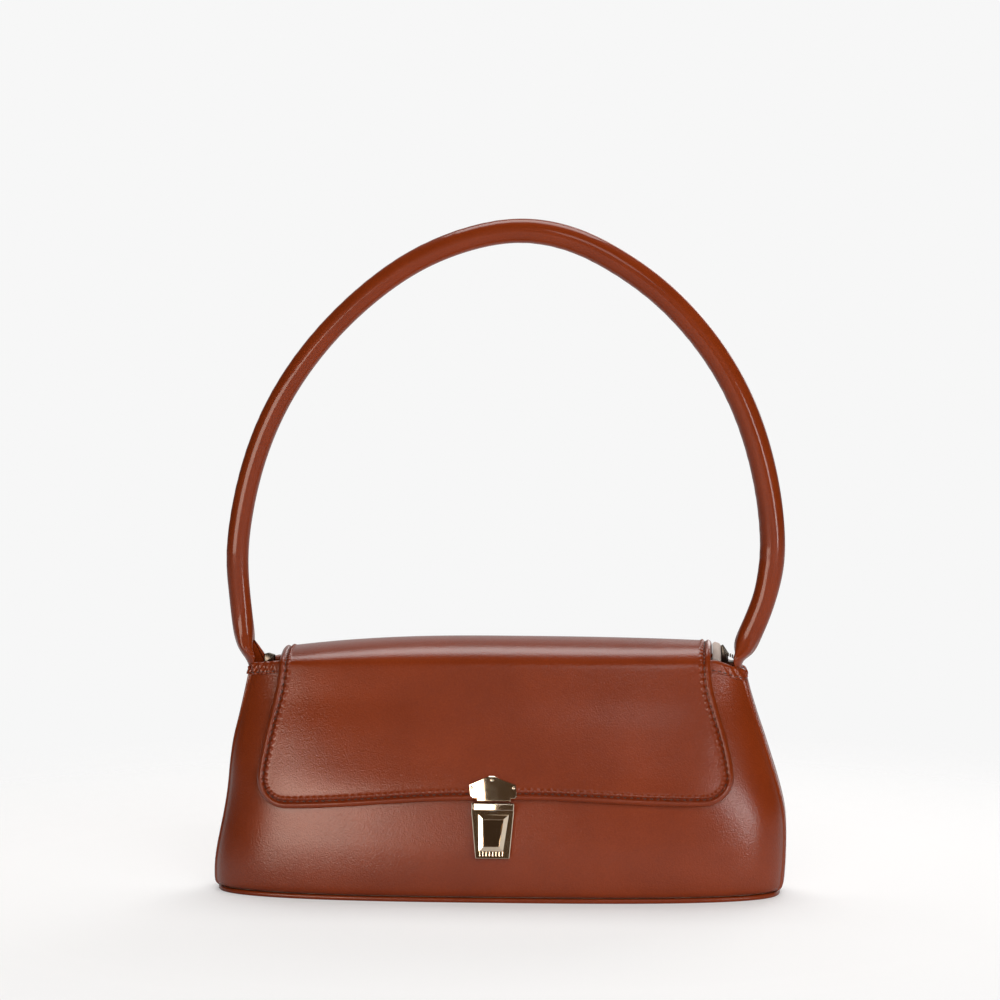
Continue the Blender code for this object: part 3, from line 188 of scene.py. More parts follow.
halfWidths = denseValues(body["widthShares"], body["halfWidth"])
halfDepths = denseValues(body["depthShares"], body["halfDepth"])


def halfWidthAt(z):
    return readDense(halfWidths, z / body["height"])


def halfDepthAt(z):
    return readDense(halfDepths, z / body["height"])


def planShares(angle):
    c, s = math.cos(angle), math.sin(angle)
    power = body["planPower"]
    reach = (abs(c) ** power + abs(s) ** power) ** (-1 / power)
    return c * reach, s * reach


def bodyPoint(angle, z):
    across, back = planShares(angle)
    spread = body["leftSpread"] * ease(*body["leftSpreadShares"], z / body["height"]) * max(0.0, -across) ** 2
    lean = body["lean"] * bump(z, body["leanAt"], body["leanReach"])
    return Vector((halfWidthAt(z) * across - spread + lean, halfDepthAt(z) * back, z))


def upwardAt(angle, z):
    rise = body["height"] / body["probeSteps"]
    return bodyPoint(angle, z + rise) - bodyPoint(angle, z - rise)


def skinPoint(angle, z, outward=0.0):
    turn = math.radians(body["probeTurn"])
    along = bodyPoint(angle + turn, z) - bodyPoint(angle - turn, z)
    return bodyPoint(angle, z) + along.cross(upwardAt(angle, z)).normalized() * outward


def angleAtDepth(y, z):
    s = min(1.0, abs(y) / halfDepthAt(z))
    power = body["planPower"]
    return math.atan2(s, (1 - s**power) ** (1 / power))


def angleAtWidth(x, z, outward=0.0):
    # Angle on the front half where the moved-out surface passes x
    power = body["planPower"]
    aim = x
    for _ in range(body["aimSteps"]):
        c = max(-1.0, min(1.0, aim / halfWidthAt(z)))
        angle = math.atan2(-((1 - abs(c) ** power) ** (1 / power)), c)
        aim += x - skinPoint(angle, z, outward).x
    return angle


def seamDepthAt(z):
    return mix(body["seamDepthLow"], body["seamDepthHigh"], z / body["height"])


def rimHeightAt(angle):
    across, back = planShares(angle)
    drop = body["rimDropLeft" if across < 0 else "rimDropRight"] * ease(*body["rimEndShares"], abs(across))
    drop += body["gussetDip"] * (1 - ease(*body["gussetDipShares"], abs(back)))
    return body["height"] - drop - body["rimLeftDrop"] * ease(*body["rimLeftShares"], -across)


def settledRim(angleAt, u):
    high = body["height"]
    for _ in range(body["settleSteps"]):
        high = rimHeightAt(angleAt(u, high))
    return high


# Node helpers: a socket given as a value makes a link, anything else is set on the node

def feed(tree, node, values):
    for key, value in values.items():
        if isinstance(value, bpy.types.NodeSocket):
            tree.links.new(value, node.inputs[key])
        else:
            node.inputs[key].default_value = value
    return node


def addNode(tree, kind, values=None, **settings):
    node = tree.nodes.new(kind)
    for key, value in settings.items():
        setattr(node, key, value)
    return feed(tree, node, values or {})


def maths(tree, operation, *values):
    return addNode(tree, "ShaderNodeMath", dict(enumerate(values)), operation=operation).outputs[0]


def ramp(tree, factor, stops):
    node = addNode(tree, "ShaderNodeValToRGB", {"Fac": factor})
    band = node.color_ramp
    while len(band.elements) > 1:
        band.elements.remove(band.elements[0])
    band.elements[0].position, band.elements[0].color = stops[0][0], (*stops[0][1], 1)
    for position, colour in stops[1:]:
        band.elements.new(position).color = (*colour, 1)
    return node.outputs["Color"]


def spread(tree, value, low, high):
    values = {"Value": value, "To Min": low, "To Max": high}
    return addNode(tree, "ShaderNodeMapRange", values).outputs["Result"]


def relief(tree, height, strength, distance, **more):
    values = {"Height": height, "Strength": strength, "Distance": distance, **more}
    return addNode(tree, "ShaderNodeBump", values).outputs["Normal"]


def objectPlace(tree):
    return addNode(tree, "ShaderNodeTexCoord").outputs["Object"]


# Shader groups, each built once and placed in several materials

def newGroup(name, inputs, outputs):
    group = bpy.data.node_groups.new(name, "ShaderNodeTree")
    for label, value in inputs.items():
        socket = group.interface.new_socket(label, in_out="INPUT", socket_type="NodeSocketFloat")
        socket.default_value = value
    for label in outputs:
        group.interface.new_socket(label, in_out="OUTPUT", socket_type="NodeSocketFloat")
    return group, group.nodes.new("NodeGroupInput").outputs, group.nodes.new("NodeGroupOutput")


def makeGrainGroup():
    # Fine pebbled grain, a slow cloudiness and a speckle, from Object coordinates
    group, given, out = newGroup(
        "leatherGrain", {"Grain Scale": 1500.0, "Cloud Scale": 26.0}, ("Height", "Cloud", "Speckle")
    )
    at = {"Vector": objectPlace(group), "Scale": given["Grain Scale"]}
    pebbles = addNode(group, "ShaderNodeTexVoronoi", {**at, "Randomness": 1.0}, feature="SMOOTH_F1")
    fine = addNode(group, "ShaderNodeTexNoise", {**at, "Detail": 3.0, "Roughness": 0.6}).outputs["Fac"]
    at["Scale"] = given["Cloud Scale"]
    clouds = addNode(group, "ShaderNodeTexNoise", {**at, "Detail": 4.0, "Roughness": 0.55})
    low = maths(group, "MULTIPLY", pebbles.outputs["Distance"], 0.55)
    feed(group, out, {
        "Height": maths(group, "ADD", low, fine), "Cloud": clouds.outputs["Fac"], "Speckle": fine,
    })
    return group


def makeWeaveGroup():
    # Plain weave of two crossing sets of threads
    group, given, out = newGroup("plainWeave", {"Thread Scale": 900.0}, ("Height", "Tone"))
    at = {"Vector": objectPlace(group), "Scale": given["Thread Scale"]}
    bands = []
    for way in ("X", "Z"):
        values = {**at, "Distortion": 0.6, "Detail": 1.0}
        bands.append(addNode(group, "ShaderNodeTexWave", values, bands_direction=way).outputs["Fac"])
    mottle = addNode(group, "ShaderNodeTexNoise", {"Vector": at["Vector"], "Scale": 180.0, "Detail": 3.0})
    feed(group, out, {"Height": maths(group, "MULTIPLY", *bands), "Tone": mottle.outputs["Fac"]})
    return group


def makePuckerGroup():
    # Leather drawn in between stitches, along the edge coordinate that the piece's own map holds; Near marks
    # the stitch line, where the leather colour gets painted shade
    group, given, out = newGroup(
        "stitchPucker", {"Pitch": 0.0031, "Line": 0.0031, "Reach": 0.0016}, ("Height", "Near")
    )
    edgeMap = addNode(group, "ShaderNodeUVMap", uv_map="edgeMap")
    parts = addNode(group, "ShaderNodeSeparateXYZ", {0: edgeMap.outputs["UV"]})
    turns = maths(group, "DIVIDE", parts.outputs["X"], given["Pitch"])
    wave = maths(group, "COSINE", maths(group, "MULTIPLY", turns, math.tau))
    away = maths(group, "SUBTRACT", parts.outputs["Y"], given["Line"])
    scaled = maths(group, "ABSOLUTE", maths(group, "DIVIDE", away, given["Reach"]))
    near = maths(group, "EXPONENT", maths(group, "MULTIPLY", maths(group, "POWER", scaled, 2.0), -1.0))
    feed(group, out, {"Height": maths(group, "MULTIPLY", wave, near), "Near": near})
    return group


grainGroup = makeGrainGroup()
weaveGroup = makeWeaveGroup()
puckerGroup = makePuckerGroup()


# Materials: a soft coat over brown leather gives the broad highlights, its grain the speckle in them
leatherLook = {
    "dark": (0.192, 0.0255, 0.0034), "middle": (0.217, 0.0297, 0.0042), "light": (0.246, 0.0348, 0.0054),
    "shadeStops": (0.30, 0.52, 0.75), "roughness": (0.36, 0.44), "specular": 0.08,
    "grainScale": 1450.0, "cloudScale": 26.0, "grainDepth": 0.00018, "grainStrength": 0.90,
    "speckleShare": 0.9,
    "coat": 0.75, "coatRoughness": 0.18, "coatGrain": 0.42,
    # grooveShade and grooveShare: painted shade, darkening the colour along the stitch groove
    "foldStrength": 0.22, "foldDepth": 0.0004, "grooveShade": (0.72, 0.62, 0.55, 1), "grooveShare": 0.55,
}
metalLook = {"markScale": 260.0, "markDetail": 3.0, "markDepth": 0.00005, "markStrength": 0.02, "shade": 0.92}
clothLook = {"roughness": 0.85, "sheen": 0.15, "threadStrength": 0.5, "threadDepth": 0.0001}
toneStops = (0.3, 0.7)


def newMaterial(name, values):
    material = bpy.data.materials.new(name)
    material.use_nodes = True
    tree = material.node_tree
    return material, tree, feed(tree, tree.nodes["Principled BSDF"], values)


def makeLeather(name, stitched=False, **changes):
    look = {**leatherLook, **changes}
    material, tree, shader = newMaterial(name, {
        "Coat Weight": look["coat"], "Coat Roughness": look["coatRoughness"],
        "Specular IOR Level": look["specular"],
    })
    grain = addNode(
        tree, "ShaderNodeGroup", {"Grain Scale": look["grainScale"], "Cloud Scale": look["cloudScale"]},
        node_tree=grainGroup,
    ).outputs
    speckle = maths(tree, "SUBTRACT", grain["Speckle"], 0.5)
    tone = maths(tree, "MULTIPLY_ADD", speckle, look["speckleShare"], grain["Cloud"])
    shades = (look["dark"], look["middle"], look["light"])
    colour = ramp(tree, tone, list(zip(look["shadeStops"], shades)))
    normal = relief(tree, grain["Height"], look["grainStrength"], look["grainDepth"])
    if stitched:
        pucker = addNode(tree, "ShaderNodeGroup", node_tree=puckerGroup).outputs
        normal = relief(tree, pucker["Height"], look["foldStrength"], look["foldDepth"], Normal=normal)
        # Painted shade: the colour is darkened along the stitch groove, where the geometry already dips
        groove = maths(tree, "MULTIPLY", pucker["Near"], look["grooveShare"])
        deep = {"Factor": groove, "A": colour, "B": look["grooveShade"]}
        mixed = addNode(tree, "ShaderNodeMix", deep, data_type="RGBA", blend_type="MULTIPLY")
        colour = mixed.outputs["Result"]
    feed(tree, shader, {
        "Base Color": colour, "Roughness": spread(tree, grain["Speckle"], *look["roughness"]),
        "Normal": normal,
        "Coat Normal": relief(tree, grain["Height"], look["coatGrain"], look["grainDepth"]),
    })
    return material


def makeMetal(name, colour, low, high, **changes):
    # Polished plating: its roughness drifts a little, with very fine polishing marks
    look = {**metalLook, **changes}
    material, tree, shader = newMaterial(name, {"Metallic": 1.0})
    at = {"Vector": objectPlace(tree), "Scale": look["markScale"], "Detail": look["markDetail"]}
    marks = addNode(tree, "ShaderNodeTexNoise", at).outputs["Fac"]
    shades = (tuple(look["shade"] * c for c in colour), colour)
    feed(tree, shader, {
        "Base Color": ramp(tree, marks, list(zip(toneStops, shades))),
        "Roughness": spread(tree, marks, low, high),
        "Normal": relief(tree, marks, look["markStrength"], look["markDepth"]),
    })
    return material


def makeCloth(name, dark, light, scale, **changes):
    look = {**clothLook, **changes}
    values = {"Roughness": look["roughness"], "Sheen Weight": look["sheen"]}
    material, tree, shader = newMaterial(name, values)
    weave = addNode(tree, "ShaderNodeGroup", {"Thread Scale": scale}, node_tree=weaveGroup).outputs
    feed(tree, shader, {
        "Base Color": ramp(tree, weave["Tone"], list(zip(toneStops, (dark, light)))),
        "Normal": relief(tree, weave["Height"], look["threadStrength"], look["threadDepth"]),
    })
    return material


leather = makeLeather("calfLeather")
stitchedLeather = makeLeather("calfLeatherStitched", stitched=True)
handleLeather = makeLeather(
    "handleLeather", grainStrength=0.20, grainDepth=0.00010, roughness=(0.30, 0.38), coat=0.50,
    coatRoughness=0.08, coatGrain=0.04,
)
suede = makeCloth("flapInner", (0.16, 0.045, 0.018), (0.21, 0.060, 0.026), 1400.0, sheen=0.3)
liningCloth = makeCloth("liningCloth", (0.52, 0.42, 0.37), (0.66, 0.56, 0.50), 1100.0)
tapeCloth = makeCloth("zipTape", (0.035, 0.020, 0.014), (0.060, 0.034, 0.022), 1500.0)
threadCloth = makeCloth("sewingThread", (0.050, 0.012, 0.004), (0.085, 0.020, 0.006), 3000.0, roughness=0.6)
boardCloth = makeCloth("boardFibre", (0.26, 0.20, 0.15), (0.33, 0.27, 0.20), 300.0)
paleGold = makeMetal("paleGold", (0.900, 0.760, 0.590), 0.05, 0.11)
darkMetal = makeMetal("darkMetal", (0.130, 0.110, 0.090), 0.22, 0.38)
inkMirror = makeMetal("inkMirror", (0.620, 0.520, 0.430), 0.02, 0.05)
steel = makeMetal("plainSteel", (0.560, 0.560, 0.570), 0.25, 0.40, markStrength=0.08)
print("materials made")


# Leather panels, with their edges raised where they meet at the side seams
panels = {
    "columns": 150, "gussetColumns": 36, "rows": 56, "rowPower": 1.5, "panelEnds": 0.92, "gussetEnds": 0.7,
    "seamShare": 0.15,
}


def seamRise(distance):
    ridge = body["seamRise"] * bump(distance, body["seamAt"], body["seamWidth"])
    return ridge - body["seamCut"] * bump(distance, 0.0, body["seamCutWidth"])


def lowerRoll(z):
    down = max(0.0, 1 - (z - body["low"]) / body["rollHeight"])
    return -body["rollIn"] * down * down


def makeSide(name, columns, angleAt, seamShare=1.0):
    # The seam is looked for within seamShare of each end
    def pointAt(u, v, depth):
        z = mix(body["low"], settledRim(angleAt, u), v ** panels["rowPower"])
        angle = angleAt(u, z)
        end = angleAt(0.0 if u < 0.5 else 1.0, z)
        away = (bodyPoint(angle, z) - bodyPoint(end, z)).length if min(u, 1 - u) < seamShare else 1.0
        return skinPoint(angle, z, seamRise(away) + lowerRoll(z) - depth)

    return gridSheet(name, columns, panels["rows"], pointAt, body["leather"], leather)


def makePanel(name, turn):
    def angleAt(u, z):
        ends = angleAtDepth(seamDepthAt(z) + body["gap"] / 2, z)
        return mix(ends, math.pi - ends, nearEnds(u, panels["panelEnds"])) + turn

    return makeSide(name, panels["columns"], angleAt, panels["seamShare"])


def makeGusset(name, middle):
    def angleAt(u, z):
        ends = angleAtDepth(seamDepthAt(z) - body["gap"] / 2, z)
        return middle + mix(-ends, ends, nearEnds(u, panels["gussetEnds"]))

    return makeSide(name, panels["gussetColumns"], angleAt)


place(makePanel("front_leather", -math.pi), "bag_body", "leather", "front_panel")
place(makePanel("back_leather", 0), "bag_body", "leather", "back_panel")
place(makeGusset("gusset_leather_right", 0), "bag_body", "leather", "gusset_right")
place(makeGusset("gusset_leather_left", math.pi), "bag_body", "leather", "gusset_left")
print("panels made")


# Base band: a flat turned strip round the foot of the bag
base = {"thickness": 0.0023, "inset": 0.0008, "round": 0.0009, "steps": 260, "boardThickness": 0.0016}


def makeBase():
    bm = bmesh.new()
    ring = []
    for i in range(base["steps"]):
        spot = skinPoint(math.tau * i / base["steps"], base["thickness"], -base["inset"])
        ring.append(bm.verts.new((spot.x, spot.y, 0)))
    pushed = bmesh.ops.extrude_face_region(bm, geom=[bm.faces.new(ring)])
    bmesh.ops.translate(bm, verts=newVerts(pushed), vec=(0, 0, base["thickness"]))
    rims = [e for e in bm.edges if abs(e.verts[0].co.z - e.verts[1].co.z) < base["round"] / 10]
    bevelParts(bm, rims, base["round"], 4)
    return finishMesh("base_band", bm, leather, 60)


place(makeBase(), "bag_body", "leather", "base_panel")
print("base made")


# Flap: one leather piece from the strip sewn to the back, over the crown and down the front
flap = {
    "standOff": 0.0019, "lining": 0.0008, "leather": 0.0013, "topHalfWidth": 0.1012, "halfWidth": 0.1132,
    "widthShares": (
        (0.0, 0.0), (0.36, 0.02), (0.46, 0.12), (0.58, 0.40), (0.70, 0.70), (0.82, 0.93), (0.92, 1.0),
        (1.0, 1.0),
    ),
    "topShare": 0.36, "corner": 0.014, "tangentDip": 0.0006,
    "edgeMiddle": 0.0488, "edgeSide": 0.0444, "edgeTilt": 0.0017, "edgeShares": (0.1, 0.95),
    "turnHeight": 0.1085, "overBinding": 0.0014, "overBindingFrom": 0.0660,
    "leftSpread": 0.0018, "leftSpreadShares": (0.40, 0.85),
    "crown": 0.1218, "droopLeft": 0.0063, "droopRight": 0.0014, "droopPower": 2.45,
    "hinge": 0.1108, "anchorDrop": 0.024, "anchorRest": 0.010, "anchorCorner": 0.007,
    "rimRound": 0.0013, "rimSwell": 0.00040, "rimSwellAt": 0.0016, "swellWidth": 0.0008,
    "stitchLine": 0.0031, "stitchPitch": 0.0031, "beadSwell": 0.00046, "beadIn": 0.0012, "beadLow": 0.35,
    "groove": 0.00075, "grooveWidth": 0.00055, "grooveShares": (1.25, 0.5),
    "outlineSteps": 900, "endSteps": 60, "outlineSpacing": 0.0005, "shortRun": 0.0001,
    "columns": 150, "columnEnds": 0.9, "topRows": 40, "frontRows": 70, "anchorRows": 22,
    "fineReach": 0.0052, "fineLimits": (0.0009, 0.0006),
    "innerInset": 0.0011, "innerGrid": (60, 90), "innerEnds": 0.6,
    "threadLength": 0.0018, "threadRadius": 0.00036, "threadLift": 0.00022, "probe": 0.001,
    "cornerSlack": 0.97,
    "bendStart": (0, 0.0255, 0.1065), "bendEnd": (0, 0.0175, 0.1120),
}
flap["outside"] = flap["standOff"] + flap["lining"] + body["gap"] + flap["leather"]


def flapDroopAt(across):
    droop = flap["droopLeft"] if across < 0 else flap["droopRight"]
    return droop * abs(across) ** flap["droopPower"]


def flapWidthAt(share):
    return mix(flap["topHalfWidth"], flap["halfWidth"], readTable(flap["widthShares"], share))


def flapPoint(x, share, outward):
    # Share 0 is the hinge at the back, 1 the front edge; below 0 the strip runs down the back
    if share < 0:
        z = flap["hinge"] + share * flap["anchorDrop"]
        lift = ease(flap["hinge"] - flap["anchorDrop"], flap["hinge"] - flap["anchorRest"], z)
        out = outward - (flap["standOff"] - 2 * body["gap"]) * (1 - lift)
        return skinPoint(-angleAtWidth(x, z, out), z, out)
    across = x / flapWidthAt(share)
    x -= flap["leftSpread"] * (1 - ease(*flap["leftSpreadShares"], share)) * max(0.0, -across) ** 3
    if share <= flap["topShare"]:
        return flapCrownPoint(x, share / flap["topShare"], across, outward)
    edge = mix(flap["edgeMiddle"], flap["edgeSide"], ease(*flap["edgeShares"], abs(across)))
    down = (share - flap["topShare"]) / (1 - flap["topShare"])
    return flapFrontPoint(x, mix(flap["turnHeight"], edge + flap["edgeTilt"] * across, down), outward)


def flapFrontPoint(x, z, outward):
    # The front fall stands off further where it passes the mouth binding
    out = outward + flap["overBinding"] * ease(flap["overBindingFrom"], flap["turnHeight"], z)
    return skinPoint(angleAtWidth(x, z, out), z, out)


def flapBackPoint(x, z, outward):
    return skinPoint(-angleAtWidth(x, z, outward), z, outward)


def flapCrownPoint(x, forward, across, outward):
    # A smooth arch from the back fold to the front fall, leaving both in their own direction
    dip, top, hinge = flap["tangentDip"], flap["turnHeight"], flap["hinge"]
    front = flapFrontPoint(x, top, outward)
    frontWay = (front - flapFrontPoint(x, top - dip, outward)).normalized()
    back = flapBackPoint(x, hinge, outward)
    backWay = (back - flapBackPoint(x, hinge - dip, outward)).normalized()
    crown = flap["crown"] - flapDroopAt(across) - (flap["outside"] - outward)
    reach = 8 / 3 * (crown - (front.z + back.z) / 2) / (frontWay.z + backWay.z)
    first, second = front + frontWay * reach, back + backWay * reach
    t, k = forward, 1 - forward
    return front * t**3 + first * 3 * t * t * k + second * 3 * t * k * k + back * k**3


def flapRowShares():
    rows = [i / flap["anchorRows"] - 1 for i in range(flap["anchorRows"])]
    rows += [flap["topShare"] * i / flap["topRows"] for i in range(flap["topRows"])]
    for i in range(flap["frontRows"] + 1):
        rows.append(mix(flap["topShare"], 1.0, math.sin(math.pi / 2 * i / flap["frontRows"])))
    return rows


rowShares = flapRowShares()
rowArcs = [0.0]
for first, second in zip(rowShares, rowShares[1:]):
    step = (flapPoint(0, second, flap["outside"]) - flapPoint(0, first, flap["outside"])).length
    rowArcs.append(rowArcs[-1] + step)


def shareAtArc(arc):
    if arc <= rowArcs[0]:
        return rowShares[0]
    if arc >= rowArcs[-1]:
        return rowShares[-1]
    i = bisect_left(rowArcs, arc) - 1
    return mix(rowShares[i], rowShares[i + 1], (arc - rowArcs[i]) / (rowArcs[i + 1] - rowArcs[i]))


def cornerCut(away, radius):
    return radius - math.sqrt(max(0.0, radius**2 - (radius - away) ** 2)) if away < radius else 0.0


def flapOutlineHalf(arc):
    wide = flapWidthAt(max(0.0, shareAtArc(arc)))
    return wide - cornerCut(rowArcs[-1] - arc, flap["corner"]) - cornerCut(arc, flap["anchorCorner"])


def flapOutline():
    # The outline in the leather's own flat coordinates, from the middle of the back strip round to it again
    total, steps, ends = rowArcs[-1], flap["outlineSteps"], flap["endSteps"]
    right = []
    for i in range(steps + 1):
        arc = total * (1 - math.cos(math.pi * i / steps)) / 2
        right.append((flapOutlineHalf(arc), arc))
    half = [(right[0][0] * i / ends, 0.0) for i in range(ends)] + right
    half += [(right[-1][0] * (1 - i / ends), total) for i in range(1, ends + 1)]
    return half + [(-x, arc) for x, arc in reversed(half[:-1])]


def resample(points, spacing):
    lengths = [0.0]
    for first, second in zip(points, points[1:]):
        lengths.append(lengths[-1] + math.dist(first, second))
    count = max(2, round(lengths[-1] / spacing))
    found, index = [], 0
    for step in range(count + 1):
        at = lengths[-1] * step / count
        while index < len(points) - 2 and lengths[index + 1] < at:
            index += 1
        span = lengths[index + 1] - lengths[index] or 1.0
        share = (at - lengths[index]) / span
        found.append(tuple(mix(a, b, share) for a, b in zip(points[index], points[index + 1])))
    return found


outline = resample(flapOutline(), flap["outlineSpacing"])
outlineTree = kdtree.KDTree(len(outline))
for index, (x, arc) in enumerate(outline):
    outlineTree.insert((x, arc, 0), index)
outlineTree.balance()


def flapEdgeAt(x, arc):
    # Way along the outline and distance from it, measured to its own short straight runs
    _, index, _ = outlineTree.find((x, arc, 0))
    best = (0.0, 1.0)
    for start in (index - 1, index):
        (x0, a0), (x1, a1) = outline[start % len(outline)], outline[(start + 1) % len(outline)]
        run = math.hypot(x1 - x0, a1 - a0)
        if run < flap["shortRun"]:
            continue
        share = ((x - x0) * (x1 - x0) + (arc - a0) * (a1 - a0)) / run**2
        share = min(1.0, max(0.0, share))
        away = math.hypot(x - mix(x0, x1, share), arc - mix(a0, a1, share))
        if away < best[1]:
            best = ((start % len(outline) + share) * flap["outlineSpacing"], away)
    return best


def turnedEdge(distance, along):
    # Height of a turned and stitched edge over the plain leather; the leather swells between stitches
    radius, line = flap["rimRound"], flap["stitchLine"]
    drop = radius * (1 - math.sqrt(max(0.0, 1 - (1 - distance / radius) ** 2))) if distance < radius else 0.0
    between = (1 + math.cos(math.tau * along / flap["stitchPitch"])) / 2
    swell = flap["rimSwell"] * bump(distance, flap["rimSwellAt"], flap["swellWidth"])
    bead = bump(distance, line + flap["beadIn"], flap["swellWidth"])
    swell += flap["beadSwell"] * bead * (flap["beadLow"] + between)
    deep, less = flap["grooveShares"]
    return swell - flap["groove"] * bump(distance, line, flap["grooveWidth"]) * (deep - less * between) - drop


def flatLength(edge, wides, arcs):
    first, second = edge.verts
    return math.hypot(first[wides] - second[wides], first[arcs] - second[arcs])


def makeFlapLeather():
    # A flat grid, cut finer near its outline, then laid over the bag and pushed through its thickness
    bm = bmesh.new()
    rows = len(rowShares) - 1
    bmesh.ops.create_grid(bm, x_segments=flap["columns"], y_segments=rows, size=1.0)
    arcs = bm.verts.layers.float.new("arc")
    wides = bm.verts.layers.float.new("wide")
    for vertex in bm.verts:
        arc = rowArcs[round((vertex.co.y + 1) / 2 * rows)]
        vertex[arcs] = arc
        vertex[wides] = mix(-1, 1, nearEnds((vertex.co.x + 1) / 2, flap["columnEnds"])) * flapOutlineHalf(arc)
    for limit in flap["fineLimits"]:
        strip = set()
        for face in bm.faces:
            if min(flapEdgeAt(v[wides], v[arcs])[1] for v in face.verts) < flap["fineReach"]:
                strip.update(e for e in face.edges if flatLength(e, wides, arcs) > limit)
        bmesh.ops.subdivide_edges(bm, edges=list(strip), cuts=1, use_grid_fill=True)
    for vertex in bm.verts:
        along, distance = flapEdgeAt(vertex[wides], vertex[arcs])
        out = flap["outside"] + turnedEdge(distance, along)
        vertex.co = flapPoint(vertex[wides], shareAtArc(vertex[arcs]), out)
    for item in newVerts(bmesh.ops.extrude_face_region(bm, geom=list(bm.faces))):
        item.co = flapPoint(item[wides], shareAtArc(item[arcs]), flap["outside"] - flap["leather"])
    edgeMap = bm.loops.layers.uv.new("edgeMap")
    for face in bm.faces:
        for loop in face.loops:
            loop[edgeMap].uv = flapEdgeAt(loop.vert[wides], loop.vert[arcs])
    return finishMesh("flap_leather", bm, stitchedLeather, 60)


def makeFlapInner():
    inset = flap["innerInset"]

    def pointAt(u, v, depth):
        arc = mix(inset, rowArcs[-1] - inset, v)
        x = mix(-1, 1, nearEnds(u, flap["innerEnds"])) * (flapOutlineHalf(arc) - inset)
        return flapPoint(x, shareAtArc(arc), flap["standOff"] + flap["lining"] - depth)

    return gridSheet("flap_inner", *flap["innerGrid"], pointAt, flap["lining"], suede)


flapLeather = makeFlapLeather()
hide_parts("flap", "flap_anchor")
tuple(flap["bendStart"])
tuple(flap["bendEnd"])
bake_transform(flapLeather)
flapInner = makeFlapInner()
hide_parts("flap_lining")
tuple(flap["bendStart"])
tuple(flap["bendEnd"])
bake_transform(flapInner)
print("flap made")


# Stitches: short rounded lengths of thread along a row of points
thread = {"flatness": 0.8, "around": 6, "along": 5}


def makeStitches(name, places, length, radius):
    # Each place is a point on the leather, the way along the row and the way out of the leather
    bm = bmesh.new()
    for point, along, out in places:
        side = out.cross(along).normalized()
        turn = Matrix((along.normalized(), side, out.normalized())).transposed().to_4x4()
        size = Matrix.Diagonal((length / 2, radius, radius * thread["flatness"], 1))
        bmesh.ops.create_uvsphere(
            bm, u_segments=thread["around"], v_segments=thread["along"], radius=1.0,
            matrix=Matrix.Translation(point) @ turn @ size @ Matrix.Rotation(math.pi / 2, 4, "Y"),
        )
    return finishMesh(name, bm, threadCloth, 80)


def flapStitchPlaces(onFlap):
    # The row runs inside the outline at one distance; points too near another side are left out
    line = flap["stitchLine"]
    inset = []
    for index in range(1, len(outline) - 1):
        (x0, a0), (x1, a1) = outline[index - 1], outline[index + 1]
        tangent = Vector((x1 - x0, a1 - a0)).normalized()
        x, arc = outline[index]
        point = (x - tangent.y * line, arc + tangent.x * line)
        if flapEdgeAt(*point)[1] > line * flap["cornerSlack"]:
            inset.append(point)
    spaced = resample(inset, flap["stitchPitch"])
    lift = flap["outside"] - flap["groove"] + flap["threadLift"]
    places = []
    for (x0, a0), (x1, a1) in zip(spaced, spaced[1:]):
        x, share = (x0 + x1) / 2, shareAtArc((a0 + a1) / 2)
        if (share >= 0.0) != onFlap:
            continue
        here = flapPoint(x, share, lift)
        along = flapPoint(x1, shareAtArc(a1), lift) - flapPoint(x0, shareAtArc(a0), lift)
        places.append((here, along, flapPoint(x, share, lift + flap["probe"]) - here))
    return places


for pieceName, onFlap, bodyName in (("flap_stitches", True, "flap"), ("anchor_stitches", False, "bag_body")):
    sewn = makeStitches(pieceName, flapStitchPlaces(onFlap), flap["threadLength"], flap["threadRadius"])
    place(sewn, bodyName, "leather")
print("flap stitched")


# Mouth binding: a folded strip over the rim, sewn below
binding = {
    "leaf": 0.0042, "thickness": 0.0009, "endDepth": 0.0046, "ends": 0.7, "foldFrom": 0.35, "grid": (240, 40),
    "wrinkle": 0.00035, "pullLeft": (0.80, 0.97), "pullRight": (0.86, 0.98), "pullRightShare": 0.45,
    "foldWaves": ((1.0, 230, 900, 0.0), (0.6, 410, -1300, 1.0)),
    "stitchDown": 0.0033, "stitchPitch": 0.0029, "stitchLift": 0.0004, "stitchSteps": 400,
    "threadLength": 0.0021, "threadRadius": 0.00030,
    "beadHalf": (0.0009, 0.0014, 0.0020), "beadDrop": 0.0022, "beadOut": 0.0006, "beadRough": 0.00018,
    "beadWaves": (2600, 900, 1900, 700),
}


def bindingAngle(u, side):
    ends = angleAtDepth(binding["endDepth"], body["height"])
    return mix(ends, math.pi - ends, nearEnds(u, binding["ends"])) + (0 if side > 0 else -math.pi)


def bindingWrinkle(angle, height):
    # Slanting folds towards the ends, where the strip is pulled round the corners
    across = planShares(angle)[0]
    pull = ease(*binding["pullLeft"], -across)
    pull += binding["pullRightShare"] * ease(*binding["pullRight"], across)
    fold = sum(size * math.sin(across * a + height * b + c) for size, a, b, c in binding["foldWaves"])
    return binding["wrinkle"] * pull * fold


def makeBinding(name, side):
    # Down the outside, round over the top and down the inside
    gap, thick, leaf, fold = body["gap"], binding["thickness"], binding["leaf"], binding["foldFrom"]
    halfFold = (body["leather"] + 2 * gap) / 2

    def pointAt(u, v, depth):
        angle = bindingAngle(u, side)
        rim = rimHeightAt(angle)
        radius = halfFold + thick - depth
        if v < fold:
            height, outward = mix(-leaf, 0, v / fold), -halfFold + gap + radius
        elif v > 1 - fold:
            height, outward = mix(0, -leaf, (v - (1 - fold)) / fold), -halfFold + gap - radius
        else:
            turn = math.pi * (v - fold) / (1 - 2 * fold)
            height, outward = radius * math.sin(turn), -halfFold + gap + radius * math.cos(turn)
        if depth == 0 and v < 0.5:
            outward += bindingWrinkle(angle, height)
        return skinPoint(angle, rim + height, outward)

    return gridSheet(name, *binding["grid"], pointAt, thick, leather)


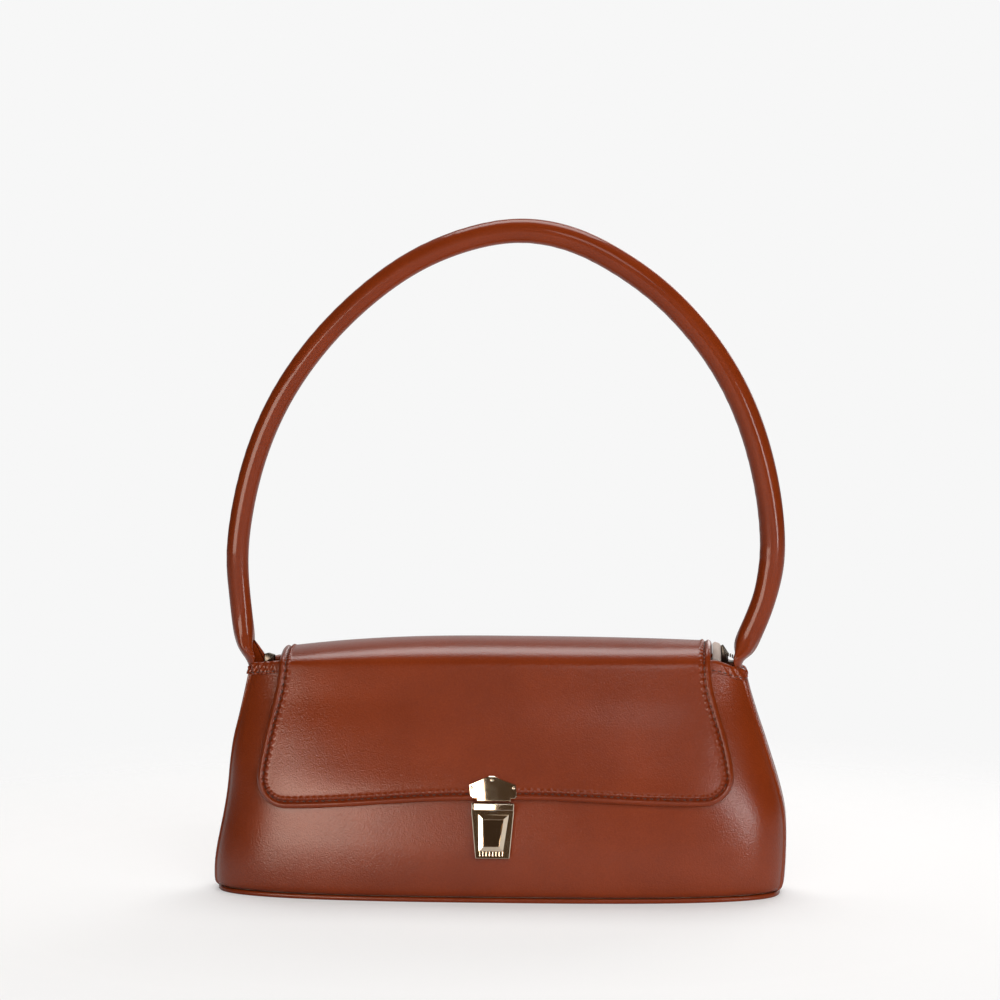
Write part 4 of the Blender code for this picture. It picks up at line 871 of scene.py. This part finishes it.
def makeBeads():
    # Knots of turned leather where the binding ends at the side seams
    bm = bmesh.new()
    for side in (0, math.pi):
        for way in (-1, 1):
            angle = side + way * angleAtDepth(binding["endDepth"], body["height"])
            seat = skinPoint(angle, rimHeightAt(angle) - binding["beadDrop"], binding["beadOut"])
            turn = Matrix.Translation(seat) @ Matrix.Diagonal((*binding["beadHalf"], 1))
            bmesh.ops.create_icosphere(bm, subdivisions=4, radius=1.0, matrix=turn)
    a, b, c, d = binding["beadWaves"]
    for vertex in bm.verts:
        x, y, z = vertex.co
        knot = math.sin(z * a + x * b) * math.sin(x * c + y * d)
        vertex.co += vertex.normal * binding["beadRough"] * knot
    return finishMesh("binding_ends", bm, leather, 60)


def bindingStitches(side):
    points, places = [], []
    for i in range(binding["stitchSteps"] + 1):
        angle = bindingAngle(i / binding["stitchSteps"], side)
        z = rimHeightAt(angle) - binding["stitchDown"]
        points.append(tuple(skinPoint(angle, z, binding["thickness"] + binding["stitchLift"])))
    spaced = [Vector(p) for p in resample(points, binding["stitchPitch"])]
    for first, second in zip(spaced, spaced[1:]):
        middle = (first + second) / 2
        out = (second - first).cross(Vector((0, 0, 1)))
        if out.dot(Vector((middle.x, middle.y * 3, 0))) < 0:
            out = -out
        places.append((middle, second - first, out))
    return places


for side, word in ((-1, "front"), (1, "back")):
    place(makeBinding(f"binding_{word}", side), "bag_body", "leather", f"mouth_binding_{word}")
    sewn = makeStitches(
        f"binding_stitches_{word}", bindingStitches(side), binding["threadLength"], binding["threadRadius"]
    )
    place(sewn, "bag_body", "leather")
place(makeBeads(), "bag_body", "leather")
print("bindings made")


# Lining and pocket
lining = {
    "depth": 0.0030, "endDepth": 0.0016, "thickness": 0.0005, "belowRim": 0.0010, "endShares": (0.35, 0.75),
    "slack": 0.0004, "folds": 23, "foldShift": (3, 5), "foldSpread": 1.2, "grid": (180, 36),
}
pocket = {
    "halfWidth": 0.062, "height": 0.058, "bottom": 0.022, "thickness": 0.0005, "gap": 0.0008, "hem": 0.0002,
    "hemAt": (0.97, 0.03), "grid": (50, 24),
}


def liningDepthAt(angle):
    back = abs(planShares(angle)[1])
    return lining["depth"] + lining["endDepth"] * (1 - ease(*lining["endShares"], back))


def makeLining():
    low = base["thickness"] + base["boardThickness"] + 2 * body["gap"]
    far, often = lining["foldShift"]

    def pointAt(u, v, depth):
        angle = math.tau * u
        z = mix(low + depth, rimHeightAt(angle) - lining["belowRim"], v)
        drape = math.sin(angle * lining["folds"] + far * math.sin(v * often))
        drape *= math.sin(math.pi * min(1, v * lining["foldSpread"])) ** 2
        return skinPoint(angle, z, -liningDepthAt(angle) - depth + min(0.0, lining["slack"] * drape))

    return gridSheet("lining_bag", *lining["grid"], pointAt, lining["thickness"], liningCloth, closed=True)


def makePocket():
    inside = lining["depth"] + lining["thickness"] + pocket["gap"]

    def pointAt(u, v, depth):
        z = mix(pocket["bottom"], pocket["bottom"] + pocket["height"], v)
        x = mix(pocket["halfWidth"], -pocket["halfWidth"], u)
        hem = pocket["hem"] * bump(v, *pocket["hemAt"]) if depth else 0
        return skinPoint(-angleAtWidth(x, z, -inside), z, -inside - depth - hem)

    return gridSheet("pocket_cloth", *pocket["grid"], pointAt, pocket["thickness"], liningCloth)


place(makeLining(), "bag_body", "lining", "lining")
place(makePocket(), "bag_body", "lining", "inner_pocket")
print("lining made")


# Handle: one rolled tube, pinched flat where it is sewn into the ends of the mouth
handle = {
    "top": 0.3155, "foot": 0.115, "halfSpan": 0.1262, "apexShare": 0.079, "radiusLeft": 0.0053,
    "radiusRight": 0.0060, "thickeningShares": (0.32, 0.62), "shift": 0.0010, "shiftHeights": (0.112, 0.145),
    # Share of the rise, then the left and right side as shares of the half span
    "shares": (
        (0.0, -0.952, 0.924), (0.04, -0.976, 0.962), (0.09, -0.992, 0.990), (0.15, -1.0, 1.010),
        (0.22, -0.999, 1.024), (0.30, -0.986, 1.021), (0.38, -0.962, 1.006), (0.46, -0.927, 0.979),
        (0.54, -0.878, 0.941), (0.62, -0.812, 0.888), (0.70, -0.725, 0.815), (0.78, -0.615, 0.718),
        (0.86, -0.475, 0.590), (0.93, -0.311, 0.430), (0.98, -0.115, 0.265),
    ),
    "sharesFrom": 0.16, "rootDrop": 0.017, "rootFeet": (-0.1160, 0.1145),
    # Height, middle of the root, then half its thin way and half its wide way
    "rootLeft": (
        (0.1040, -0.1170, 0.0010, 0.0052), (0.1072, -0.1184, 0.0010, 0.0064),
        (0.1106, -0.1199, 0.0016, 0.0074), (0.1135, -0.1204, 0.0029, 0.0076),
        (0.1168, -0.1211, 0.0040, 0.0071), (0.1226, -0.1219, 0.0049, 0.0060),
        (0.1298, -0.1232, 0.0051, 0.0053), (0.1409, -0.1249, 0.0051, 0.0051),
    ),
    "rootRight": (
        (0.1040, 0.1140, 0.0010, 0.0054), (0.1090, 0.1140, 0.0010, 0.0066), (0.1121, 0.1137, 0.0018, 0.0074),
        (0.1136, 0.1142, 0.0031, 0.0076), (0.1169, 0.1159, 0.0048, 0.0070), (0.1213, 0.1182, 0.0056, 0.0062),
        (0.1299, 0.1218, 0.0057, 0.0058), (0.1429, 0.1260, 0.0056, 0.0056),
    ),
    "rootReach": 0.165, "settleHeights": (0.138, 0.160), "bowHeights": (0.1110, 0.1180), "bowReach": 0.0080,
    "crease": 0.16, "creaseAt": (0.1160, 0.0070), "creaseTurns": 2.5, "creaseStart": 0.5, "creaseLevel": 0.62,
    "wrinkle": 0.010, "wrinkleFrom": 0.15, "wrinkleTurn": 1.1, "wrinkleWaves": (1.35, 0.31),
    "sides": 32, "routeSteps": 12, "spacing": 0.0016, "smoothings": 50,
    "bendStart": (0, 0, 0.1115), "bendEnd": (0, 0, 0.1255),
}


def handlePoint(side, share):
    x = handle["halfSpan"] * readTable(handle["shares"], share, 1 if side < 0 else 2)
    return Vector((x, 0, mix(handle["foot"], handle["top"], share)))


def smoothRoute(guide, fineSteps):
    # A curve through every guide point
    fine = []
    for index in range(len(guide) - 1):
        before = guide[max(index - 1, 0)]
        start, end = guide[index], guide[index + 1]
        after = guide[min(index + 2, len(guide) - 1)]
        for step in range(fineSteps):
            t = step / fineSteps
            square = (2 * before - 5 * start + 4 * end - after) * t * t
            cube = (3 * start - before - 3 * end + after) * t**3
            fine.append(0.5 * ((2 * start) + (end - before) * t + square + cube))
    fine.append(guide[-1])
    return fine


def handleGuide():
    shares = [row[0] for row in handle["shares"] if row[0] > handle["sharesFrom"]]
    feet = [Vector((x, 0, body["height"] - handle["rootDrop"])) for x in handle["rootFeet"]]
    guide = feet[:1] + [Vector((row[1], 0, row[0])) for row in handle["rootLeft"]]
    guide += [handlePoint(-1, share) for share in shares]
    guide.append(Vector((handle["halfSpan"] * handle["apexShare"], 0, handle["top"])))
    guide += [handlePoint(1, share) for share in reversed(shares)]
    return guide + [Vector((row[1], 0, row[0])) for row in reversed(handle["rootRight"])] + feet[1:]


def handleRoute():
    # Evenly spaced points, smoothed, then moved a little to the right above the roots
    route = smoothRoute(handleGuide(), handle["routeSteps"])
    spaced = [Vector(p) for p in resample([tuple(p) for p in route], handle["spacing"])]
    for _ in range(handle["smoothings"]):
        inner = [(a + b * 2 + c) / 4 for a, b, c in zip(spaced, spaced[1:], spaced[2:])]
        spaced = spaced[:1] + inner + spaced[-1:]
    for spot in spaced:
        spot.x += handle["shift"] * ease(*handle["shiftHeights"], spot.z)
    return spaced


def rootBow(y, z, side):
    # The flat root lies against the curve of the side
    weight = 1 - ease(*handle["bowHeights"], z)
    if weight <= 0:
        return 0.0
    angle = angleAtDepth(min(abs(y), handle["bowReach"]), min(z, body["height"]))
    return -side * weight * halfWidthAt(z) * (1 - planShares(angle)[0])


def handleSkin(spaced, index, turn):
    last = len(spaced) - 1
    centre = spaced[index]
    ahead = (spaced[min(index + 1, last)] - spaced[max(index - 1, 0)]).normalized()
    side = Vector((0, 1, 0)).cross(ahead).normalized()
    along = index / last
    hand = -1 if along < 0.5 else 1
    thin = wide = mix(handle["radiusLeft"], handle["radiusRight"], ease(*handle["thickeningShares"], along))
    if centre.z < handle["rootReach"]:
        roots = handle["rootLeft" if hand < 0 else "rootRight"]
        settled = ease(*handle["settleHeights"], centre.z)
        thin = mix(readTable(roots, centre.z, 2), thin, settled)
        wide = mix(readTable(roots, centre.z, 3), wide, settled)
    lobes = abs(math.sin(handle["creaseTurns"] * turn + handle["creaseStart"])) - handle["creaseLevel"]
    scale = 1 + handle["crease"] * bump(centre.z, *handle["creaseAt"]) * lobes
    if centre.z > handle["wrinkleFrom"]:
        inner = bump(math.remainder(turn - math.pi * (along < 0.5), math.tau), 0.0, handle["wrinkleTurn"])
        short, slow = handle["wrinkleWaves"]
        scale += handle["wrinkle"] * inner * math.sin(index * short) * math.sin(index * slow + 1)
    y = wide * scale * math.sin(turn)
    return centre + side * thin * scale * math.cos(turn) + Vector((rootBow(y, centre.z, hand), y, 0))


def makeHandle():
    spaced = handleRoute()
    bm = bmesh.new()
    turns = bm.verts.layers.float.new("turn")
    bmesh.ops.create_circle(bm, cap_ends=False, segments=handle["sides"], radius=1.0)
    for vertex in bm.verts:
        vertex[turns] = math.atan2(vertex.co.y, vertex.co.x)
    ring = list(bm.edges)
    for vertex in bm.verts:
        vertex.co = handleSkin(spaced, 0, vertex[turns])
    for index in range(1, len(spaced)):
        pushed = bmesh.ops.extrude_edge_only(bm, edges=ring)
        ring = [item for item in pushed["geom"] if isinstance(item, bmesh.types.BMEdge)]
        for item in newVerts(pushed):
            item.co = handleSkin(spaced, index, item[turns])
    bmesh.ops.holes_fill(bm, edges=[e for e in bm.edges if e.is_boundary], sides=handle["sides"])
    return finishMesh("handle_leather", bm, handleLeather, 60)


handleTube = makeHandle()
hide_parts("handle_cover", "handle_core", "handle_root_left", "handle_root_right")
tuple(handle["bendStart"])
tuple(handle["bendEnd"])
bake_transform(handleTube)
print("handle made")


# Lock: polished faces that swell a little, so each one mirrors a light on one side and the dark on the other
lock = {
    "gap": 0.0003, "bottom": 0.0218, "height": 0.0262, "plateFoot": 0.0493, "plateHeight": 0.0104,
    "plateHalf": 0.0111, "plateShoulder": 0.0064, "plateCorner": 0.0012, "neckHalf": 0.0080, "neck": 0.0013,
    "plateThickness": 0.0009, "plateSwell": 0.0011, "plateTilt": 0.0013, "edgeRound": 0.0003,
    "swellStrips": 8,
    "rivetRadius": 0.00085, "rivets": ((-0.0098, 0.0050), (0.0, 0.0086), (0.0098, 0.0050)),
    "barHalf": 0.0095, "barLow": 0.0229, "barHigh": 0.0258, "barBack": 0.0069, "barFront": 0.0075,
    "barSwell": 0.0005, "barTurn": 0.07,
    "buttonFoot": 0.0035, "buttonTop": 0.0207, "buttonLow": 0.0057, "buttonHigh": 0.0072,
    "buttonBack": 0.0014, "buttonSide": 0.0033, "frameWidth": 0.0020, "frameRise": 0.00067, "lip": 0.0002,
    "recess": 0.0005, "inlayLow": 0.0034, "inlayHigh": 0.0048, "inlayMargin": 0.0024, "inlayBack": 0.0028,
    "inlayFront": 0.0036, "pressTravel": 0.0026,
    "ribs": 8, "ribHalf": 0.0054, "ribLow": 0.0010, "ribHigh": 0.0031, "ribFront": 0.0013, "ribShare": 0.7,
}


def leatherSeat(z, outward):
    # On the middle of the front, with z along the leather and y into it
    point = skinPoint(-math.pi / 2, z, outward)
    up = upwardAt(-math.pi / 2, z).normalized()
    across = Vector((1, 0, 0))
    turn = Matrix((across, up.cross(across), up)).transposed().to_4x4()
    return Matrix.Translation((0, point.y, point.z)) @ turn


def caseSeat(outward):
    middle = lock["height"] / 2
    return leatherSeat(lock["bottom"] + middle, outward) @ Matrix.Translation((0, 0, -middle))


def plateSeat():
    middle = lock["plateHeight"] / 2
    seat = leatherSeat(lock["plateFoot"] + middle, flap["outside"] + lock["gap"])
    return seat @ Matrix.Translation((0, 0, -middle))


def raiseFace(bm, shape, height):
    # A flat face drawn from x and z, pushed forward to a height; the front face comes back
    face = bm.faces.new([bm.verts.new((x, 0, z)) for x, z in shape])
    face.normal_update()
    if face.normal.y > 0:
        face.normal_flip()
    pushed = bmesh.ops.extrude_face_region(bm, geom=[face])
    front = [item for item in pushed["geom"] if isinstance(item, bmesh.types.BMFace)]
    bmesh.ops.translate(bm, verts=newVerts(pushed), vec=(0, -height, 0))
    for item in front:
        item.normal_update()
    return front


def insetFront(bm, front, thickness, depth):
    bmesh.ops.inset_region(bm, faces=front, thickness=thickness, depth=depth, use_even_offset=True)


def swellFront(bm, behind, half, swell, tilt=0.0, height=1.0, turned=0.0):
    # Cut into strips, then pushed forward most in the middle
    strips = lock["swellStrips"]
    for step in range(1 - strips, strips):
        parts = list(bm.verts) + list(bm.edges) + list(bm.faces)
        bmesh.ops.bisect_plane(bm, geom=parts, plane_co=(half * step / strips, 0, 0), plane_no=(1, 0, 0))
    for vertex in bm.verts:
        if vertex.co.y < behind:
            x, _, z = vertex.co
            vertex.co.y -= swell * (1 - (x / half) ** 2) + tilt * z / height + turned * x


def taperedShape(low, high, halfLow, halfHigh):
    return [(-halfLow, low), (halfLow, low), (halfHigh, high), (-halfHigh, high)]


def finishSeated(name, bm, material, seat, angle=25):
    bm.transform(seat)
    return finishMesh(name, bm, material, angle)


def makePlate():
    cut, high = lock["plateCorner"], lock["plateHeight"]
    right = [
        (lock["neckHalf"], -lock["neck"]), (lock["neckHalf"], 0), (lock["plateHalf"] - cut, 0),
        (lock["plateHalf"], cut), (lock["plateHalf"], lock["plateShoulder"]), (cut, high),
    ]
    bm = bmesh.new()
    shape = right + [(-x, z) for x, z in reversed(right)]
    front = raiseFace(bm, shape, lock["plateThickness"] - lock["edgeRound"])
    insetFront(bm, front, lock["edgeRound"], lock["edgeRound"])
    swellFront(bm, -lock["gap"], lock["plateHalf"], lock["plateSwell"], tilt=lock["plateTilt"], height=high)
    return finishSeated("lock_plate_face", bm, paleGold, plateSeat())


def makeRivets():
    bm = bmesh.new()
    radius = lock["rivetRadius"]
    for x, z in lock["rivets"]:
        out = lock["plateThickness"] + lock["plateSwell"] * (1 - (x / lock["plateHalf"]) ** 2)
        out += lock["plateTilt"] * z / lock["plateHeight"]
        seat = Matrix.Translation((x, -out, z)) @ Matrix.Diagonal((radius, radius / 2, radius, 1))
        bmesh.ops.create_uvsphere(bm, u_segments=20, v_segments=12, radius=1.0, matrix=seat)
    return finishSeated("lock_rivets", bm, paleGold, plateSeat(), 80)


def makeBarFace():
    half = lock["barHalf"]
    bm = bmesh.new()
    shape = taperedShape(lock["barLow"], lock["barHigh"], half, half)
    front = raiseFace(bm, shape, lock["barFront"] - lock["barBack"])
    insetFront(bm, front, lock["edgeRound"], lock["edgeRound"])
    swellFront(bm, -lock["gap"], half, lock["barSwell"], turned=lock["barTurn"])
    seat = caseSeat(lock["gap"]) @ Matrix.Translation((0, -lock["barBack"], 0))
    return finishSeated("lock_bar_face", bm, paleGold, seat)


def makeButtonFrame():
    shape = taperedShape(lock["buttonFoot"], lock["buttonTop"], lock["buttonLow"], lock["buttonHigh"])
    bm = bmesh.new()
    front = raiseFace(bm, shape, lock["buttonSide"])
    insetFront(bm, front, lock["frameWidth"], lock["frameRise"])
    insetFront(bm, front, lock["lip"], 0.0)
    insetFront(bm, front, lock["lip"] / 2, -lock["recess"])
    return finishSeated("lock_button_frame", bm, paleGold, caseSeat(lock["buttonBack"]), 12)


def makeInlay():
    low, high = lock["buttonFoot"] + lock["inlayMargin"], lock["buttonTop"] - lock["inlayMargin"]
    bm = bmesh.new()
    shape = taperedShape(low, high, lock["inlayLow"], lock["inlayHigh"])
    front = raiseFace(bm, shape, lock["inlayFront"] - lock["inlayBack"])
    insetFront(bm, front, lock["lip"] / 2, lock["lip"] / 2)
    return finishSeated("lock_inlay", bm, inkMirror, caseSeat(lock["buttonBack"] + lock["inlayBack"]), 12)


def makeRibs():
    # Fluted foot of the case, low enough for the button to slide over
    bm = bmesh.new()
    low, high, radius = lock["ribLow"], lock["ribHigh"], lock["ribHalf"] / lock["ribs"] * lock["ribShare"]
    for index in range(lock["ribs"]):
        x = mix(-lock["ribHalf"], lock["ribHalf"], index / (lock["ribs"] - 1))
        seat = Matrix.Translation((x, -lock["ribFront"] + radius, (low + high) / 2))
        bmesh.ops.create_cone(
            bm, cap_ends=True, segments=12, radius1=radius, radius2=radius, depth=high - low, matrix=seat
        )
    return finishSeated("lock_ribs", bm, paleGold, caseSeat(0.0), 60)


def squashSpring():
    # The spring gets a mesh of its own; its points are sorted along the way the button slides down the case
    spring = nodes["lock_spring"]
    way = (caseSeat(0.0).to_3x3() @ Vector((0, 0, 1))).normalized()
    points = sorted((spring.matrix_world @ v.co for v in spring.data.vertices), key=way.dot)
    tuple(points[0])
    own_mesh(spring)


place(makePlate(), "flap", "paleGold", "lock_plate")
place(makeRivets(), "flap", "paleGold", "lock_rivet_left", "lock_rivet_top", "lock_rivet_right")
place(makeBarFace(), "flap", "paleGold")
place(makeButtonFrame(), "lock_button", "paleGold", "lock_button")
place(makeInlay(), "lock_button", "mirror", "lock_button_face")
place(makeRibs(), "bag_body", "paleGold")
squashSpring()
print("lock made")


# Small pieces that stand up at the ends of the mouth: tabs of lining and leather, dark zip stops and teeth
mouthEnds = {
    "tabRight": (
        (0.1018, 0.1100), (0.1018, 0.1196), (0.1030, 0.1204), (0.1052, 0.1196),
        (0.1064, 0.1176), (0.1066, 0.1100),
    ),
    "tabLeft": (
        (-0.1192, 0.1060), (-0.1180, 0.1140), (-0.1170, 0.1198), (-0.1150, 0.1172), (-0.1120, 0.1130),
        (-0.1100, 0.1060),
    ),
    "stopRight": ((0.1060, 0.1110), (0.1059, 0.1186), (0.1068, 0.1193), (0.1092, 0.1156), (0.1094, 0.1110)),
    "stopLeft": (
        (-0.1116, 0.1090), (-0.1114, 0.1134), (-0.1092, 0.1139), (-0.1062, 0.1130), (-0.1062, 0.1090),
    ),
    "cornerRound": 0.0003, "rimAngle": 1.2,
    "teeth": 4, "toothStart": (0.1084, -0.0030, 0.1150), "toothStep": (0.0010, 0, -0.0004),
    "toothSize": (0.0007, 0.0022, 0.0016), "toothRound": 0.0002,
}


def makeFlatPiece(name, outlineName, y, thickness, material):
    bm = bmesh.new()
    bm.faces.new([bm.verts.new((x, y, z)) for x, z in mouthEnds[outlineName]])
    bevelParts(bm, list(bm.verts), mouthEnds["cornerRound"], 3, "VERTICES")
    pushed = bmesh.ops.extrude_face_region(bm, geom=list(bm.faces))
    bmesh.ops.translate(bm, verts=newVerts(pushed), vec=(0, thickness, 0))
    rims = [e for e in bm.edges if len(e.link_faces) == 2 and e.calc_face_angle(0) > mouthEnds["rimAngle"]]
    bevelParts(bm, rims, thickness / 4, 2)
    return finishMesh(name, bm, material, 50)


def makeEndTeeth():
    bm = bmesh.new()
    for index in range(mouthEnds["teeth"]):
        spot = Vector(mouthEnds["toothStart"]) + Vector(mouthEnds["toothStep"]) * index
        seat = Matrix.Translation(spot) @ Matrix.Diagonal((*mouthEnds["toothSize"], 1))
        made = bmesh.ops.create_cube(bm, size=1.0, matrix=seat)
        bevelParts(bm, list({e for v in made["verts"] for e in v.link_edges}), mouthEnds["toothRound"], 2)
    return finishMesh("zip_end_teeth", bm, darkMetal, 50)


for pieceName, outlineName, y, thickness, finish, slotName in (
    ("lining_tab_right", "tabRight", -0.0020, 0.0016, liningCloth, "lining"),
    ("lining_tab_left", "tabLeft", -0.0010, 0.0016, handleLeather, "leather"),
    ("zip_stop_right", "stopRight", -0.0030, 0.0020, darkMetal, "darkMetal"),
    ("zip_stop_left", "stopLeft", -0.0065, 0.0020, darkMetal, "darkMetal"),
):
    place(makeFlatPiece(pieceName, outlineName, y, thickness, finish), "bag_body", slotName)
place(makeEndTeeth(), "bag_body", "darkMetal")
print("mouth ends made")


# The board, metal and zip nodes keep their frame shapes and take their finishes
for finish, nodeNames in (
    (boardCloth, ("base_board",)), (paleGold, ("lock_bar", "lock_case")),
    (steel, ("lock_flap_washer", "lock_back_washer", "lock_spring")),
    (darkMetal, ("lock_catch", "zip_teeth_front", "zip_teeth_back", "zip_slider", "zip_pull")),
    (tapeCloth, ("zip_tape_front", "zip_tape_back")), (liningCloth, ("zip_end_left", "zip_end_right")),
):
    for nodeName in nodeNames:
        nodes[nodeName].data.materials.clear()
        nodes[nodeName].data.materials.append(finish)
print("frame nodes finished")


# Stage, lights and camera
stage = {
    "floorSize": 6.0, "floorPlain": 0.72, "floorShade": 0.61, "floorGlow": 0.40, "fade": (0.24, 0.55),
    "background": 0.93, "mirrorDark": (0.060, 0.038, 0.022), "mirrorBack": 0.50, "mirror": (0.55, 0.97),
    "aim": (0, 0, 0.08), "keyColour": (1.0, 0.86, 0.74),
}
shot = {"distance": 2.5, "height": 0.440, "aim": (0.0007, 0, 0.18717), "turn": 3.8,
    "lens": 190.52, "sensor": 36.0}


def grey(value):
    return (value, value, value, 1)


def smoothStep(tree, value, low, high):
    values = {"Value": value, "From Min": low, "From Max": high}
    return addNode(tree, "ShaderNodeMapRange", values, interpolation_type="SMOOTHSTEP").outputs["Result"]


def mixShader(tree, share, first, second):
    return addNode(tree, "ShaderNodeMixShader", {0: share, 1: first.outputs[0], 2: second.outputs[0]})


def mixColour(tree, share, first, second):
    values = {"Factor": share, "A": first, "B": second}
    return addNode(tree, "ShaderNodeMix", values, data_type="RGBA").outputs["Result"]


def makeFloor():
    # To the camera the floor melts into the backdrop and keeps the shadow; other rays see a plain pale one
    bm = bmesh.new()
    bmesh.ops.create_grid(bm, x_segments=1, y_segments=1, size=stage["floorSize"])
    material = bpy.data.materials.new("studioFloor")
    material.use_nodes = True
    tree = material.node_tree
    tree.nodes.clear()
    path = addNode(tree, "ShaderNodeLightPath")
    plain = addNode(tree, "ShaderNodeBsdfDiffuse", {"Color": grey(stage["floorPlain"])})
    shade = addNode(tree, "ShaderNodeBsdfDiffuse", {"Color": grey(stage["floorShade"])})
    glow = addNode(tree, "ShaderNodeEmission", {"Color": grey(stage["floorGlow"]), "Strength": 1.0})
    seen = addNode(tree, "ShaderNodeAddShader", {0: shade.outputs[0], 1: glow.outputs[0]})
    clear = addNode(tree, "ShaderNodeBsdfTransparent")
    far = addNode(tree, "ShaderNodeVectorMath", {0: objectPlace(tree)}, operation="LENGTH").outputs["Value"]
    melt = mixShader(tree, smoothStep(tree, far, *stage["fade"]), seen, clear)
    pick = mixShader(tree, path.outputs["Is Camera Ray"], plain, melt)
    addNode(tree, "ShaderNodeOutputMaterial", {"Surface": pick.outputs[0]})
    finishMesh("studio_floor", bm, material)


def makeWorld():
    # The camera sees the pale backdrop; metal and gloss mirror a dark room that is paler behind the bag
    world = bpy.data.worlds.new("studio")
    bpy.context.scene.world = world
    world.use_nodes = True
    tree = world.node_tree
    path = addNode(tree, "ShaderNodeLightPath").outputs
    seen = maths(tree, "MAXIMUM", path["Is Camera Ray"], path["Is Transmission Ray"])
    way = addNode(tree, "ShaderNodeTexCoord").outputs["Generated"]
    back = addNode(tree, "ShaderNodeSeparateXYZ", {0: way}).outputs["Y"]
    mirrored = smoothStep(tree, back, *stage["mirror"])
    room = mixColour(tree, mirrored, (*stage["mirrorDark"], 1), grey(stage["mirrorBack"]))
    level = mixColour(tree, seen, room, grey(stage["background"]))
    feed(tree, tree.nodes["Background"], {"Color": level, "Strength": 1.0})


def makeCamera():
    # Far off and a little above, turned a few degrees to the right of the bag
    data = bpy.data.cameras.new("camera")
    data.lens, data.sensor_width = shot["lens"], shot["sensor"]
    camera = bpy.data.objects.new("camera", data)
    turn, distance = math.radians(shot["turn"]), shot["distance"]
    camera.location = (distance * math.sin(turn), -distance * math.cos(turn), shot["height"])
    camera.rotation_euler = (Vector(shot["aim"]) - camera.location).to_track_quat("-Z", "Y").to_euler()
    bpy.context.collection.objects.link(camera)
    bpy.context.scene.camera = camera


def addLamp(name, place3d, aim, size, power, roll=0.0):
    data = bpy.data.lights.new(name, "AREA")
    data.shape = "RECTANGLE"
    data.size, data.size_y = size
    data.energy = power
    lamp = bpy.data.objects.new(name, data)
    lamp.location = place3d
    facing = (Vector(aim) - Vector(place3d)).to_track_quat("-Z", "Y")
    lamp.rotation_euler = (facing.to_matrix() @ Matrix.Rotation(math.radians(roll), 3, "Z")).to_euler()
    lamp.visible_camera = False
    bpy.context.collection.objects.link(lamp)
    return lamp


def softbox(name, azimuth, height, distance, size, radiance, roll=0.0):
    # Azimuth in degrees from straight in front, to the right; height in degrees above the bag's middle
    turn, lift = math.radians(azimuth), math.radians(height)
    aim = Vector(stage["aim"])
    way = Vector((math.cos(lift) * math.sin(turn), -math.cos(lift) * math.cos(turn), math.sin(lift)))
    return addLamp(name, aim + way * distance, aim, size, radiance * math.pi * size[0] * size[1], roll)


makeFloor()
makeWorld()
makeCamera()
key = softbox("key", -29, 2, 1.6, (0.98, 0.62), 8.0, roll=-18)
key.visible_diffuse = False  # the key only makes the highlights
key.data.color = stage["keyColour"]
softbox("right", 46, 6, 1.5, (0.75, 0.20), 11.0, roll=-38)
softbox("high", 14, 35, 1.5, (0.45, 0.35), 3.0)
softbox("back", 160, 22, 1.7, (0.8, 0.8), 2.5)
addLamp("top", (0, 0.45, 1.52), (0, 0, 0.1), (1.2, 0.8), 15.5)
for name, azimuth, height, radiance in (("fill_front", 8, 16, 2.7), ("fill_back", 175, 22, 1.0)):
    softbox(name, azimuth, height, 2.7, (2.4, 2.0), radiance).visible_glossy = False
bpy.context.scene.view_settings.view_transform = "Standard"
print("stage made")
